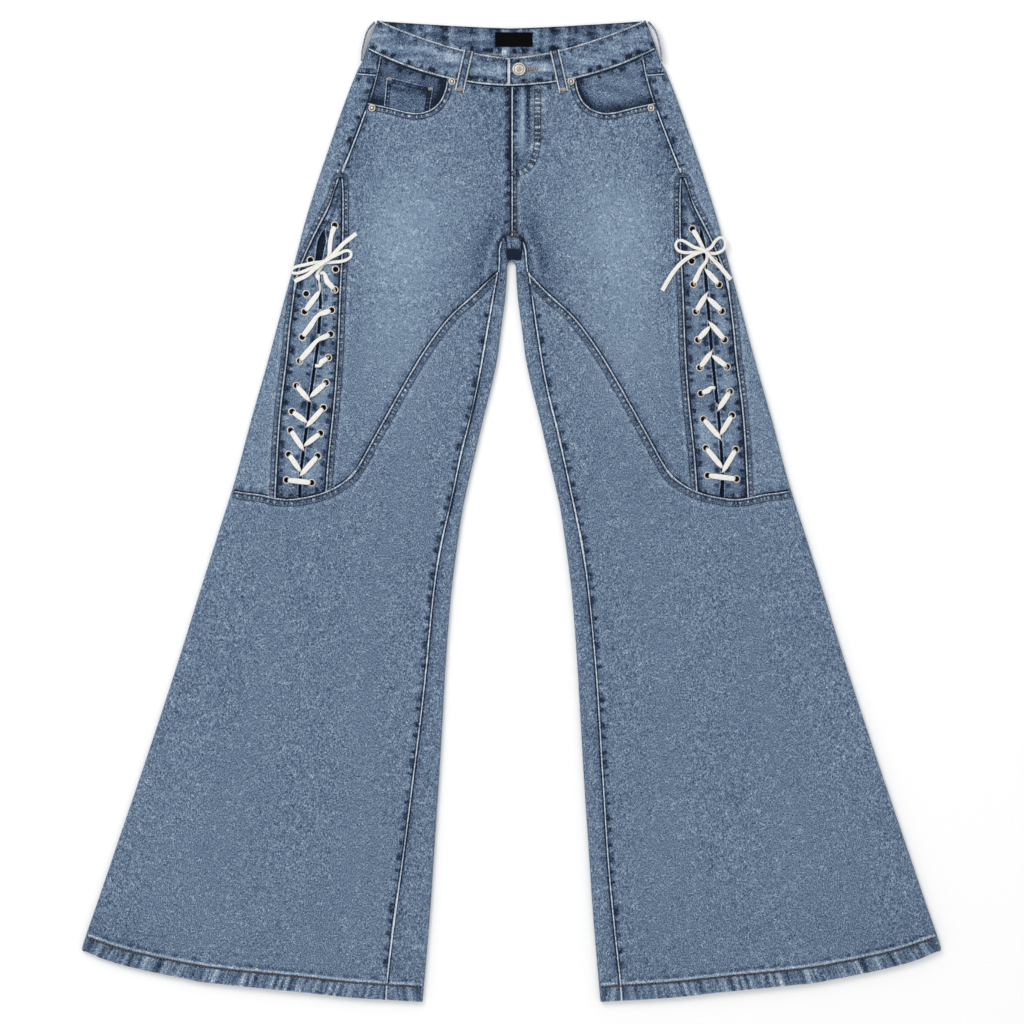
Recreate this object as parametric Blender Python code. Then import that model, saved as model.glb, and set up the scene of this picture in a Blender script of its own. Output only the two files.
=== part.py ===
"""Wide leg jeans with laced side gores, laid flat on their back.

Lengths in this script are millimetres and become metres when a mesh is made.
+X is the wearer's left, +Y runs up to the waist, +Z faces up from the surface the
garment lies on. A half of the garment is worked out for x > 0 and mirrored by `side`.
Each cloth piece is a grid of (inner point, outer point) nodes, closed into one wall.
"""

from collections import namedtuple
import math

import bmesh
import bpy
import numpy as np

MM = 0.001

# ---- cloth and layers ----
CLOTH = 1.4
HOLLOW = 2.2
FRONT_IN = CLOTH + HOLLOW
FRONT_OUT = FRONT_IN + CLOTH
FOLD_OUT = FRONT_OUT / 2
SEAM_GAP = 0.3
INSET = SEAM_GAP / 2
LEG_SWELL = 0.8
BAND_CLOTH = 2.0
HEM_DEPTH = 17.5
HEM_EXTRA = 0.5

# ---- centre front and band ----
CENTRE_BAND_TOP = 507.5
CENTRE_BAND_BOTTOM = 476.0
CROTCH_Y = 309.0
KNEE_INSEAM_Y = 267.7
UNDERLAP = 26.0
OVERLAP = 3.0
OVERLAP_LIFT = BAND_CLOTH + SEAM_GAP
GORE_APEX_Y = 375.2
GORE_TOP_Y = 371.0

Point = namedtuple("Point", "x y")
SlitRow = namedtuple("SlitRow", "y x width")
Eyelet = namedtuple("Eyelet", "x y")
Pass = namedtuple("Pass", "x y z width")
Finish = namedtuple("Finish", "name colour roughness metallic")

# Outer edge of the flat garment from the waist corner to the hem, as half widths.
OUTER_EDGE = [Point(*p) for p in (
    (150.1, 549.9), (157.4, 541), (162.4, 518), (166.5, 505), (172.5, 494), (186, 460), (201.6, 415.5),
    (216.7, 371), (230.7, 326), (242.5, 281), (254.8, 236), (272.7, 169), (291.8, 102), (309.7, 35),
    (331, -32.5), (352.2, -100), (373, -167), (394.8, -234), (417.2, -301), (440.2, -368.5),
    (463.1, -436), (480.2, -486), (479.4, -493.9))]
# Inner edge of a leg, from the fork to the hem.
INNER_EDGE = [Point(*p) for p in (
    (0, 279.5), (2.9, 278.4), (4.6, 275), (5.1, 269.5), (5.7, 255), (7.3, 236), (11.8, 203), (16.2, 169),
    (23.5, 135.5), (31.9, 102), (39.8, 68), (47.6, 35), (54.9, 1), (59.9, -32.5), (64.4, -66), (68.3, -100),
    (73.4, -167), (77.3, -234), (81.2, -301), (85.7, -368.5), (90.2, -436), (94.6, -492), (99.7, -549.8))]
# Inseam on the front of each leg, from the fork to the hem; the two legs lie a little differently.
INSEAM = {
    -1: [Point(*p) for p in (
        (0, 309), (7.2, 308.2), (12.4, 302), (14.4, 290), (15.1, 267.7), (25.2, 210.6), (40.9, 122), (56, 64),
        (66, 13), (79.3, -42.5), (87.8, -104), (97.9, -206), (109.5, -300), (121, -391), (130.9, -457),
        (138.3, -523), (140, -547.3))],
    1: [Point(*p) for p in (
        (0, 309), (8.2, 308.2), (14.2, 302), (16.6, 290), (18.7, 267.7), (26.6, 210.6), (37.5, 145), (51, 90),
        (65.5, 23), (78.5, -38), (86.5, -100), (94.5, -186), (101, -290), (107.5, -391), (114.8, -470),
        (121, -526), (122.7, -548.3))]}
# Curved seam between the hip panels and the lower leg, from the outer fold to the inseam.
KNEE_SEAM = [Point(*p) for p in (
    (310.5, 23), (300.2, 20.9), (283.4, 19), (266, 15.1), (248.6, 13.4), (229.6, 15.9), (212.8, 20.2),
    (198.2, 26.3), (185.9, 34.5), (174.7, 45.7), (147.8, 93.6), (121.5, 140.4), (102.5, 172.5),
    (83.4, 200.5), (65.5, 222), (45, 240), (30, 255), (22, 263))]
# Hem edge from the outer corner to the inner one.
HEM = [Point(*p) for p in (
    (479.4, -493.9), (436.8, -508), (385, -519.7), (333.8, -528.6), (282.2, -534.2), (236.3, -538.7),
    (189.3, -544), (142.2, -547.5), (99.7, -549.9))]
SIDE_SEAM = [Point(*p) for p in (
    (146.7, 513.5), (152, 487), (160.7, 457), (171.4, 428), (181.4, 402), (191.4, GORE_APEX_Y))]
GORE_FRONT = [Point(*p) for p in (
    (190.4, GORE_TOP_Y), (189.4, 348), (189.8, 303.5), (191.4, 269), (193.1, 234), (195.1, 180), (198.2, 134),
    (201.2, 101), (205.1, 66), (208.3, 21.8))]
GORE_BACK = [Point(*p) for p in (
    (193.8, GORE_TOP_Y), (200.8, 348), (211.8, 326), (222.9, 303.5), (232.8, 281), (240.8, 259), (243.8, 236),
    (248.1, 203), (251.2, 169), (257, 124), (260.8, 79.5), (264.2, 15))]
# Centre line and opening of the slit between the two lace strips.
SLIT = {
    -1: [SlitRow(*r) for r in (
        (371, 192.1, 0), (348, 194.6, 0), (330, 201.5, 0), (317, 209, 0), (312, 210.8, 3), (303.5, 212.2, 9.5),
        (292, 214.5, 8.5), (279, 216.2, 7.5), (264, 216.2, 5), (248, 214.6, 3.4), (234, 213.9, 3.2),
        (207, 215.3, 3.2), (183, 217.3, 3.2), (125, 225.7, 3.2), (97, 229, 3.2), (71, 232.4, 3.2),
        (43, 236.2, 3.2), (16, 237.3, 3.2))],
    1: [SlitRow(*r) for r in (
        (371, 192.1, 0), (348, 195.5, 0), (330, 205, 0), (318, 211.5, 0), (312, 212.6, 3), (300, 213.4, 7),
        (282, 216.2, 5.5), (264, 217.4, 3.6), (242, 219, 3.2), (207, 222, 3.2), (179, 224.2, 3.2),
        (138, 228.5, 3.2), (113, 231.3, 3.2), (83, 234, 3.2), (46, 236.3, 3.2), (32, 236.3, 3.4),
        (16, 235.1, 5.6))]}
# Eyelet centres, from the knee seam up, in the strip next to the front and the one next to the back.
EYELETS = {
    (-1, "front"): [Eyelet(*e) for e in (
        (223.7, 31.7), (216.9, 61.6), (213.9, 87.1), (210.4, 115.7), (207.6, 143.7), (205, 171.7), (202.5, 198),
        (201.4, 224.9), (197.9, 247.7), (196.9, 270.6), (197.9, 320))],
    (-1, "back"): [Eyelet(*e) for e in (
        (251.7, 34.7), (249.3, 63.4), (247.2, 90.4), (245.6, 111.4), (240.8, 140.3), (237.3, 168),
        (234.2, 194.7), (231.6, 223.2), (229.9, 243.2), (225.2, 281))],
    (1, "front"): [Eyelet(*e) for e in (
        (219.7, 39.8), (217.7, 70.6), (214.9, 102.8), (212.2, 131.7), (210.9, 160.6), (208.7, 191.7),
        (206.5, 223.2), (203.7, 254), (201.9, 279.8), (202.6, 315.8))],
    (1, "back"): [Eyelet(*e) for e in (
        (252, 35.8), (251, 68.9), (247, 107.2), (244.7, 133.7), (241.4, 161.5), (238.6, 191.7),
        (235.6, 223.8), (232.3, 253.5), (226.5, 280.5))]}
EYELET_HOLE_R = 2.5
HOLE_SIDES = 10

# ---- pocket ----
SCOOP = [Point(*p) for p in (
    (160.7, 457), (139.4, 452.5), (110.3, 445.8), (92, 449), (80.5, 458.5), (74.5, 471), (72, 487))]
FACING_EDGE = [Point(*p) for p in ((48, 474), (60, 450), (85, 432), (112, 427), (142, 431), (167, 438))]
FACING_IN = CLOTH + 0.45
FACING_OUT = FACING_IN + CLOTH
COIN_CLOTH = 1.1
COIN_TOP = (Point(140.1, 487), Point(87.4, 474))
COIN_BOTTOM_X = (143.0, 91.3)

# ---- belt loops, button, rivets, label ----
LOOP_WIDTH = 10.5
LOOP_CLOTH = 1.5
SIDE_LOOP_WIDTH = 8.0
SIDE_LOOP_MID = 4.2
BUTTON = Point(8.4, 494.1)
BUTTON_PROFILE = ((0, 0), (3.2, 0), (3.2, 1.0), (7.2, 1.2), (7.5, 2.0), (6.6, 2.9), (5.4, 2.5), (2.6, 2.5),
                  (1.6, 3.0), (0, 3.0))
RIVET_PROFILE = ((0, 0), (4.0, 0), (4.0, 0.5), (3.0, 1.2), (1.6, 1.3), (1.0, 1.9), (0, 2.1))
RIVETS = (Point(66.6, 480.8), Point(156.2, 451.2))
LABEL = (Point(-18.5, 520.0), Point(23.6, 536.5))

# ---- lace ----
TAPE = 0.8
TAPE_OVER = FRONT_OUT + 1.1
TAPE_UNDER = FRONT_OUT / 2
TAPE_THROUGH_WIDTH = 3.4
TAPE_ARM_WIDTH = 5.6
# The free ends of each lace from its tail through the knot; a stacked pass keeps its own height.
BOWS = {
    (-1, "first"): [Pass(*p) for p in (
        (173.6, 310.6, 6.2, 4.6), (180.9, 304.9, 6.3, 4.6), (188.2, 299, 7, 4.6), (195.4, 291.2, 8.1, 4.6),
        (202.2, 283.9, 9, 4.2), (208.9, 278.9, 9.2, 3.6), (215.6, 275.5, 8.9, 3.6), (222.3, 272.4, 8.2, 3.6),
        (232.7, 268.1, 6.9, 3.6), (240.2, 266.1, 6.4, 3.2), (244.9, 266.6, 6.4, 3.0), (246.3, 269.2, 6.4, 3.0),
        (243.6, 272.2, 6.4, 3.2), (232.7, 275.2, 6.6, 3.6), (222, 277.6, 7, 3.6), (208.9, 280, 7, 3.6),
        (204.4, 285, 6.8, 4.2), (203.3, 296.8, 6.4, 5), (201.4, 309.1, 6.2, 4.6))],
    (-1, "second"): [Pass(*p) for p in (
        (243, 256.9, 6.2, 4.6), (237.3, 259.8, 6.3, 4.6), (231.6, 262.2, 6.8, 4.4), (226.2, 265.4, 8.2, 4.2),
        (221.3, 269.5, 9.6, 4), (215.6, 273.8, 10.2, 3.6), (208.9, 278.9, 10.3, 3.6), (202.2, 283, 10.2, 3.6),
        (197.3, 285.6, 9.6, 3.6), (191.6, 288.6, 7.7, 3.6), (184.8, 291.4, 6.5, 3.2), (180.3, 289.9, 6.4, 3),
        (179.6, 285.6, 6.4, 3), (183.7, 281.6, 6.4, 3.2), (190.5, 279.4, 6.7, 3.6), (202.2, 278.2, 7.8, 3.6),
        (208.9, 277.3, 8.1, 3.6), (213.6, 272, 7.4, 3.4), (218.6, 264, 6.4, 3.4), (219.2, 252, 6.3, 3.6),
        (222, 243, 6.2, 4.6))],
    (1, "first"): [Pass(*p) for p in (
        (168.8, 246.6, 6.2, 4.8), (174.2, 256.5, 6.2, 4.8), (180.2, 266, 6.2, 4.8), (185.9, 273.3, 6.3, 4.6),
        (191.7, 279.1, 6.7, 4.4), (197.7, 283.4, 7.6, 4.2), (203.2, 286.4, 8.5, 4), (210, 289.2, 9.1, 3.6),
        (216.7, 291.2, 9.2, 3.6), (222.5, 294.2, 8.6, 3.6), (228.3, 302.4, 6.8, 3.4), (231.8, 305.4, 6.4, 3.2),
        (235.3, 306, 6.4, 3), (238.7, 303, 6.4, 3), (239.3, 298.1, 6.4, 3), (236.9, 292.5, 6.4, 3.2),
        (229.4, 288.5, 6.6, 3.4), (223.7, 288.3, 6.8, 3.6), (216.7, 291, 7, 3.6), (213.4, 296.2, 6.8, 4),
        (208.9, 305.2, 6.4, 4.6))],
    (1, "second"): [Pass(*p) for p in (
        (245.4, 259.2, 6.2, 4.8), (239.1, 266.6, 6.3, 4.8), (232.8, 274.1, 6.8, 4.6), (227.4, 279.1, 8, 4.2),
        (223.7, 282.7, 9.2, 3.8), (216.7, 290.1, 10.3, 3.6), (210, 293.2, 9.8, 3.6), (204.3, 295, 8.6, 3.6),
        (198.8, 298.5, 7.2, 3.6), (194, 301.5, 6.5, 3.4), (189.4, 303.1, 6.4, 3), (185.1, 301.3, 6.4, 3),
        (183.8, 296.8, 6.4, 3), (186.3, 291.9, 6.4, 3.2), (191.7, 289.6, 6.4, 3.4), (197.7, 289.1, 6.8, 3.6),
        (204.3, 289.4, 7.3, 3.6), (216.7, 290.3, 8.1, 3.6), (219, 285.6, 7.6, 3.4), (217.8, 279.5, 6.5, 3.6),
        (212.6, 272.5, 6.2, 4))]}
# Each lace from its first bow end to its second. It changes between over and under at every eyelet,
# at every pass through the slit and at every turn round the slit's edge, but not at a "by" point.
LACING = {
    -1: (("front", 10), ("by", (203, 292)), ("turn", (214.9, 266.5)), ("front", 8), ("by", (195.2, 236)),
         ("by", (195, 222)), ("by", (197, 196)), ("front", 5), ("turn", (220.2, 159)), ("front", 4),
         ("slit", 127.7), ("back", 3), ("slit", 99.2), ("front", 2), ("slit", 72.9), ("back", 1), ("slit", 44.3),
         ("front", 0), ("back", 0), ("slit", 39.7), ("front", 1), ("slit", 68.3), ("back", 2), ("slit", 94.6),
         ("front", 3), ("slit", 123.1), ("back", 4), ("back", 5), ("front", 6), ("back", 6), ("front", 7),
         ("back", 7)),
    1: (("front", 9), ("slit", 270.6), ("back", 7), ("slit", 243.8), ("front", 6), ("slit", 211.2),
        ("back", 5), ("slit", 178.7), ("front", 4), ("turn", (227.9, 138)), ("front", 3), ("back", 2),
        ("slit", 85.5), ("front", 1), ("slit", 48.2), ("back", 0), ("front", 0), ("slit", 43.6), ("back", 1),
        ("slit", 80.9), ("front", 2), ("slit", 113.1), ("back", 3), ("back", 4), ("slit", 174.1),
        ("front", 5), ("slit", 206.6), ("back", 6), ("slit", 239.2), ("front", 7))}

# ---- rows and columns of the panel grids ----
HIP_COLUMNS = 12
SEAT_COLUMNS = 12
GORE_ROWS = 11
LEG_ROWS = 8
STRIP_SPLIT = 2
FOLD_ANGLES = (67.5, 22.5, -22.5, -67.5)

DENIM = Finish("denim", (0.165, 0.245, 0.36), 0.9, 0.0)
DARK_DENIM = Finish("denim_shaded", (0.11, 0.175, 0.28), 0.9, 0.0)
METAL = Finish("ivory_metal", (0.72, 0.69, 0.62), 0.35, 0.9)
TAPE_WHITE = Finish("lace_white", (0.86, 0.85, 0.82), 0.85, 0.0)
LABEL_BLACK = Finish("label_black", (0.012, 0.012, 0.014), 0.7, 0.0)


# ---------------------------------------------------------------- curves

class Curve:
    """A smooth curve through plan points, read by its share of the length or by y."""

    def __init__(self, points, steps=10):
        knots = np.array([tuple(p)[:2] for p in points], float)
        before = 2 * knots[0] - knots[1]
        after = 2 * knots[-1] - knots[-2]
        padded = np.vstack([before, knots, after])
        dense = [knots[0]]
        for i in range(len(knots) - 1):
            a, b, c, d = padded[i:i + 4]
            for t in np.linspace(0, 1, steps + 1)[1:]:
                dense.append(0.5 * (2 * b + (c - a) * t + (2 * a - 5 * b + 4 * c - d) * t * t
                                    + (3 * b - a - 3 * c + d) * t ** 3))
        self.dense = np.array(dense)
        runs = np.linalg.norm(np.diff(self.dense, axis=0), axis=1)
        self.along = np.concatenate([[0], np.cumsum(runs)])
        self.length = self.along[-1]

    def at(self, distance):
        """The point this far along."""
        x = np.interp(distance, self.along, self.dense[:, 0])
        y = np.interp(distance, self.along, self.dense[:, 1])
        return np.array([x, y])

    def x_at(self, y):
        """The x where a curve that runs down the garment passes y."""
        return float(np.interp(-y, -self.dense[:, 1], self.dense[:, 0]))

    def point_at(self, y):
        return np.array([self.x_at(y), y])

    def distance_at(self, y):
        return float(np.interp(-y, -self.dense[:, 1], self.along))

    def direction(self, distance):
        step = self.at(min(distance + 1, self.length)) - self.at(max(distance - 1, 0))
        return step / np.linalg.norm(step)

    def spread(self, start, end, count):
        """count + 1 points, evenly spaced between two distances."""
        return [self.at(d) for d in np.linspace(start, end, count + 1)]


def smoothstep(low, high, value):
    t = min(max((value - low) / (high - low), 0.0), 1.0)
    return t * t * (3 - 2 * t)


OUTER = Curve(OUTER_EDGE)
INNER = Curve(INNER_EDGE)
KNEE = Curve(KNEE_SEAM)
HEM_CURVE = Curve(HEM)
SIDE = Curve(SIDE_SEAM)


def swell(x, y):
    """How far the front of a leg lifts off its back in the middle."""
    low, high = INNER.x_at(y), OUTER.x_at(y)
    share = min(max((abs(x) - low) / (high - low), 0.0), 1.0)
    return LEG_SWELL * 16 * (share * (1 - share)) ** 2 * (1 - smoothstep(150, 240, y))


# ---------------------------------------------------------------- nodes of the cloth grid

def front_node(p, extra=0.0):
    lift = swell(p[0], p[1])
    return np.array([[p[0], p[1], FRONT_IN + lift], [p[0], p[1], FRONT_OUT + lift + extra]])


def back_node(p, extra=0.0):
    return np.array([[p[0], p[1], CLOTH + extra], [p[0], p[1], 0.0]])


def fold_node(centre, normal, angle, wall=CLOTH, extra=0.0):
    """A node round a fold; angle 90 is on the front layer and -90 on the back one."""
    turn = math.radians(angle)
    reach, rise = math.cos(turn), math.sin(turn)
    node = []
    for radius in (FOLD_OUT - wall - extra, FOLD_OUT):
        flat = centre + normal * radius * reach
        node.append([flat[0], flat[1], FOLD_OUT + radius * rise])
    return np.array(node)


def outer_fold(distance):
    """Centre and outward direction of the outer fold."""
    along = OUTER.direction(distance)
    normal = np.array([-along[1], along[0]])
    return OUTER.at(distance) - normal * FOLD_OUT, normal


def inner_fold(distance):
    """Centre and direction, towards the other leg, of the inner fold."""
    along = INNER.direction(distance)
    normal = np.array([along[1], -along[0]])
    if distance < 1e-6:
        normal = np.array([0.0, -1.0])
    return INNER.at(distance) - normal * FOLD_OUT, normal


def coons(left, right, top, bottom):
    """Plan points of a patch from its four sides, whose corners agree."""
    rows, columns = len(left) - 1, len(top) - 1
    patch = []
    for i in range(rows + 1):
        v = i / rows
        row = []
        for j in range(columns + 1):
            u = j / columns
            across = (1 - u) * left[i] + u * right[i]
            down = (1 - v) * top[j] + v * bottom[j]
            corners = ((1 - u) * (1 - v) * left[0] + u * (1 - v) * right[0]
                       + (1 - u) * v * left[-1] + u * v * right[-1])
            row.append(across + down - corners)
        patch.append(row)
    return patch


def between(a, b, count):
    """The count - 1 points that divide a to b."""
    return [a + (b - a) * i / count for i in range(1, count)]


# ---------------------------------------------------------------- solids

def link(mesh_name, verts, faces, finish):
    mesh = bpy.data.meshes.new(mesh_name)
    mesh.from_pydata([tuple(np.array(v) * MM) for v in verts], [], faces)
    shape = bmesh.new()
    shape.from_mesh(mesh)
    bmesh.ops.recalc_face_normals(shape, faces=shape.faces)
    shape.to_mesh(mesh)
    shape.free()
    obj = bpy.data.objects.new(mesh_name, mesh)
    bpy.context.scene.collection.objects.link(obj)
    mesh.materials.append(material(finish))
    for face in mesh.polygons:
        face.use_smooth = True
    mesh.set_sharp_from_angle(angle=math.radians(35))
    return obj


def material(finish):
    made = bpy.data.materials.get(finish.name)
    if made is None:
        made = bpy.data.materials.new(finish.name)
        made.use_nodes = True
        shader = made.node_tree.nodes["Principled BSDF"]
        shader.inputs["Base Color"].default_value = (*finish.colour, 1)
        shader.inputs["Roughness"].default_value = finish.roughness
        shader.inputs["Metallic"].default_value = finish.metallic
        made.diffuse_color = (*finish.colour, 1)
    return made


def grid_cells(grid):
    """The cells whose four nodes exist, as lists of (row, column) in order round the cell."""
    cells = []
    for i in range(len(grid) - 1):
        for j in range(len(grid[i]) - 1):
            ring = [(i, j), (i, j + 1), (i + 1, j + 1), (i + 1, j)]
            if all(grid[r][c] is not None for r, c in ring):
                cells.append(ring)
    return cells


def boundary_edges(cells):
    """Directed edges used by one cell only, with the centre of that cell's ring."""
    seen = {}
    for ring in cells:
        for a, b in zip(ring, ring[1:] + ring[:1]):
            seen.setdefault(frozenset((a, b)), []).append((a, b, ring))
    return [uses[0] for uses in seen.values() if len(uses) == 1]


def inset_grid(grid, edges):
    """Draws the border back by half the seam gap, so that neighbours don't touch."""
    middle = {}
    pulls = {}

    def mid(key):
        if key not in middle:
            middle[key] = grid[key[0]][key[1]].mean(axis=0)
        return middle[key]

    for a, b, ring in edges:
        along = mid(b) - mid(a)
        along = along / np.linalg.norm(along)
        inward = sum(mid(k) for k in ring) / 4 - (mid(a) + mid(b)) / 2
        inward = inward - along * inward.dot(along)
        inward = inward / np.linalg.norm(inward)
        pulls.setdefault(a, []).append(inward)
        pulls.setdefault(b, []).append(inward)
    for (row, column), normals in pulls.items():
        if len(normals) == 2:
            first, second = normals
            move = INSET * (first + second) / max(1 + first.dot(second), 0.3)
        else:
            move = INSET * normals[0]
        grid[row][column] = grid[row][column] + move


def wall(name, grid, side, finish=DENIM, inset=True):
    """Closes a grid of nodes into one wall, mirrored to its side."""
    cells = grid_cells(grid)
    edges = boundary_edges(cells)
    if inset:
        inset_grid(grid, edges)
    index, verts = {}, []
    for i, row in enumerate(grid):
        for j, node in enumerate(row):
            if node is None:
                continue
            index[i, j] = len(verts)
            for x, y, z in node:
                verts.append((x * side, y, z))
    faces = []
    for ring in cells:
        keys = [index[k] for k in ring]
        faces.append([k + 1 for k in keys])
        faces.append([k for k in reversed(keys)])
    for a, b, _ in edges:
        faces.append([index[a] + 1, index[a], index[b], index[b] + 1])
    return link(name, verts, faces, finish)


def lathe(name, centre, floor, profile, sides, finish):
    """A turned piece from (radius, height) rows, both ends on the axis."""
    verts, faces = [], []
    rings = []
    for radius, height in profile:
        if radius == 0:
            rings.append([len(verts)])
            verts.append((centre[0], centre[1], floor + height))
            continue
        ring = []
        for k in range(sides):
            turn = 2 * math.pi * k / sides
            ring.append(len(verts))
            verts.append((centre[0] + radius * math.cos(turn), centre[1] + radius * math.sin(turn),
                          floor + height))
        rings.append(ring)
    for lower, upper in zip(rings, rings[1:]):
        for k in range(sides):
            n = (k + 1) % sides
            if len(lower) == 1:
                faces.append([lower[0], upper[n], upper[k]])
            elif len(upper) == 1:
                faces.append([lower[k], lower[n], upper[0]])
            else:
                faces.append([lower[k], lower[n], upper[n], upper[k]])
    return link(name, verts, faces, finish)


def tape(name, nodes, finish):
    """A flat tape swept along (point, width direction, width, thickness) nodes."""
    verts, faces = [], []
    for point, across, width, thick in nodes:
        before = nodes[max(len(verts) // 4 - 1, 0)][0]
        after = nodes[min(len(verts) // 4 + 1, len(nodes) - 1)][0]
        along = (after - before) / np.linalg.norm(after - before)
        flat = across - along * across.dot(along)
        flat = flat / np.linalg.norm(flat)
        up = np.cross(along, flat)
        for s, t in ((-1, -1), (1, -1), (1, 1), (-1, 1)):
            verts.append(point + flat * s * width / 2 + up * t * thick / 2)
    for i in range(len(nodes) - 1):
        a, b = 4 * i, 4 * (i + 1)
        for k in range(4):
            n = (k + 1) % 4
            faces.append([a + k, a + n, b + n, b + k])
    last = 4 * (len(nodes) - 1)
    faces.append([3, 2, 1, 0])
    faces.append([last, last + 1, last + 2, last + 3])
    return link(name, verts, faces, finish)


# ---------------------------------------------------------------- shared seam points

HEM_MARKS = (HEM_DEPTH + 1.2, HEM_DEPTH, 0.0)
OUTER_KNEE = OUTER.distance_at(KNEE_SEAM[0].y)
YOKE_SIDE_Y = 487.0
BAND_SIDE_Y = 518.0


def leg_distances(start, end):
    """Rows of a lower leg along one of its long edges, with the step of the hem."""
    rows = list(np.linspace(start, end - HEM_MARKS[0], LEG_ROWS))
    return rows + [end - mark for mark in HEM_MARKS[1:]]


def hem_extra(row):
    return HEM_EXTRA if row >= LEG_ROWS else 0.0


def side_seam_points():
    """Side seam nodes from the yoke seam down to the top of the gore."""
    return [SIDE.point_at(y) for y in (YOKE_SIDE_Y, 457.0, 428.0, 402.0, GORE_APEX_Y)]


def gore_points(table):
    curve = Curve(table)
    return [curve.point_at(y) for y in np.linspace(table[0].y, table[-1].y, GORE_ROWS + 1)]


def knee_points(side):
    """Nodes of the curved seam: outer fold, gore back, slit, gore front, then to the inseam."""
    table = KNEE_SEAM + [Point(*inseam_knee(side))]
    curve = Curve(table)
    marks = []
    for x in (GORE_BACK[-1].x, SLIT[side][-1].x, GORE_FRONT[-1].x):
        marks.append(float(np.interp(-x, -curve.dense[:, 0], curve.along)))
    points = curve.spread(0, marks[0], 3)[:-1]
    points += curve.spread(marks[0], marks[1], 2)[:-1]
    points += curve.spread(marks[1], marks[2], 2)[:-1]
    points += curve.spread(marks[2], curve.length, HIP_COLUMNS)
    return points


def inseam_knee(side):
    """Where the curved seam meets the inseam."""
    return Curve(INSEAM[side]).point_at(KNEE_INSEAM_Y)


def fork_distances():
    """Inner fold distances from the fork to the curved seam."""
    return np.linspace(0, INNER.distance_at(KNEE_INSEAM_Y), 5)


def fork_inseam(side):
    """Inseam nodes from the fork to the curved seam."""
    curve = Curve(INSEAM[side])
    return curve.spread(0, curve.distance_at(KNEE_INSEAM_Y), 4)


def back_knee_points():
    """The curved seam under the leg, from the outer fold to the inner one."""
    start, _ = outer_fold(OUTER_KNEE)
    end, _ = inner_fold(fork_distances()[-1])
    curve = Curve([Point(*start)] + KNEE_SEAM[1:] + [Point(*end)])
    return curve.spread(0, curve.length, SEAT_COLUMNS)


def band_bottom(x):
    """Seam of the waistband on the front at half width x."""
    share = min(abs(x) / 162.4, 1.0)
    return CENTRE_BAND_BOTTOM + 4.5 * share + 37.5 * share ** 2.1


def band_top(x):
    """Top edge of the waistband on the front at half width x."""
    share = min(abs(x) / 150.1, 1.0)
    return CENTRE_BAND_TOP + 42.4 * share ** 1.55


def yoke_back_top(x):
    """Seam of the waistband on the back."""
    return 508.0 + 9.4 * (abs(x) / 160.0) ** 1.6


def yoke_back_bottom(x):
    """Lower seam of the yoke, deepest at the centre."""
    share = min(abs(x) / 170.0, 1.0)
    return 446.0 + 43.0 * share


# ---------------------------------------------------------------- cloth pieces

def front_panel(side, name):
    """Hip and thigh panel, with the scoop of the pocket cut out of its corner."""
    inseam = fork_inseam(side)
    centre_rows = [np.array([0.0, y]) for y in np.linspace(CENTRE_BAND_BOTTOM, CROTCH_Y, 12)]
    right = centre_rows + inseam[1:]
    left = side_seam_points()[1:] + gore_points(GORE_FRONT)
    scoop = Curve(SCOOP)
    top = scoop.spread(0, scoop.length, 8)
    band = [np.array([x, band_bottom(x)]) for x in np.linspace(SCOOP[-1].x, 0, 5)]
    top[-1] = band[0]
    top = top + band[1:]
    bottom = knee_points(side)[-HIP_COLUMNS - 1:]
    if len(left) != len(right):
        raise ValueError("the two long edges of the front panel need as many nodes")
    plan = coons(left, right, top, bottom)
    return wall(name, [[front_node(p) for p in row] for row in plan], side)


def seat_rows(side):
    """Distances down the outer edge and plan points on top for each row of the seat panel."""
    seam = side_seam_points() + gore_points(GORE_BACK)
    heights = [YOKE_SIDE_Y + 2.5] + [p[1] + 1.5 for p in seam[1:-1]]
    distances = [OUTER.distance_at(y) for y in heights] + [OUTER_KNEE]
    return seam, distances


def seat_panel(side, name):
    """Back panel: round the outer fold, under the hip, and up through the fork to the inseam."""
    seam, distances = seat_rows(side)
    folds = [outer_fold(d) for d in distances]
    centre_top = yoke_back_bottom(0)
    fork = [inner_fold(d) for d in fork_distances()]
    rows = len(seam) - len(fork)
    middle = [np.array([0.0, y]) for y in np.linspace(centre_top, fork[0][0][1], rows + 1)]
    right = middle + [centre for centre, _ in fork[1:]]
    left = [centre for centre, _ in folds]
    top = yoke_seam_points(left[0])
    plan = coons(left, right, top, back_knee_points())
    inseam = fork_inseam(side)
    knee = knee_points(side)
    grid = []
    for i, (centre, normal) in enumerate(folds):
        strip = [seam[i]] + between(seam[i], centre, 3)
        if i == len(folds) - 1:
            strip = [knee[3], knee[2], knee[1]]
        row = [front_node(p) for p in strip]
        row += [fold_node(centre, normal, angle) for angle in (90, *FOLD_ANGLES, -90)]
        row += [back_node(p) for p in plan[i][1:]]
        k = i - rows
        if k >= 0:
            centre_in, normal_in = fork[k]
            row += [fold_node(centre_in, normal_in, -angle) for angle in (*FOLD_ANGLES, -90)]
            row += [front_node(p) for p in between(centre_in, inseam[k], 2)]
            row.append(front_node(inseam[k]))
        else:
            row += [None] * (len(FOLD_ANGLES) + 3)
        grid.append(row)
    return wall(name, grid, side)


def yoke_seam_points(start):
    """Yoke seam under the hip, from the outer fold to the centre back."""
    xs = np.linspace(start[0], 0, SEAT_COLUMNS + 1)
    points = [np.array([x, yoke_back_bottom(x)]) for x in xs]
    blend = np.linspace(1, 0, SEAT_COLUMNS + 1) ** 3
    drop = start[1] - points[0][1]
    return [p + np.array([0, drop * b]) for p, b in zip(points, blend)]


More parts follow.
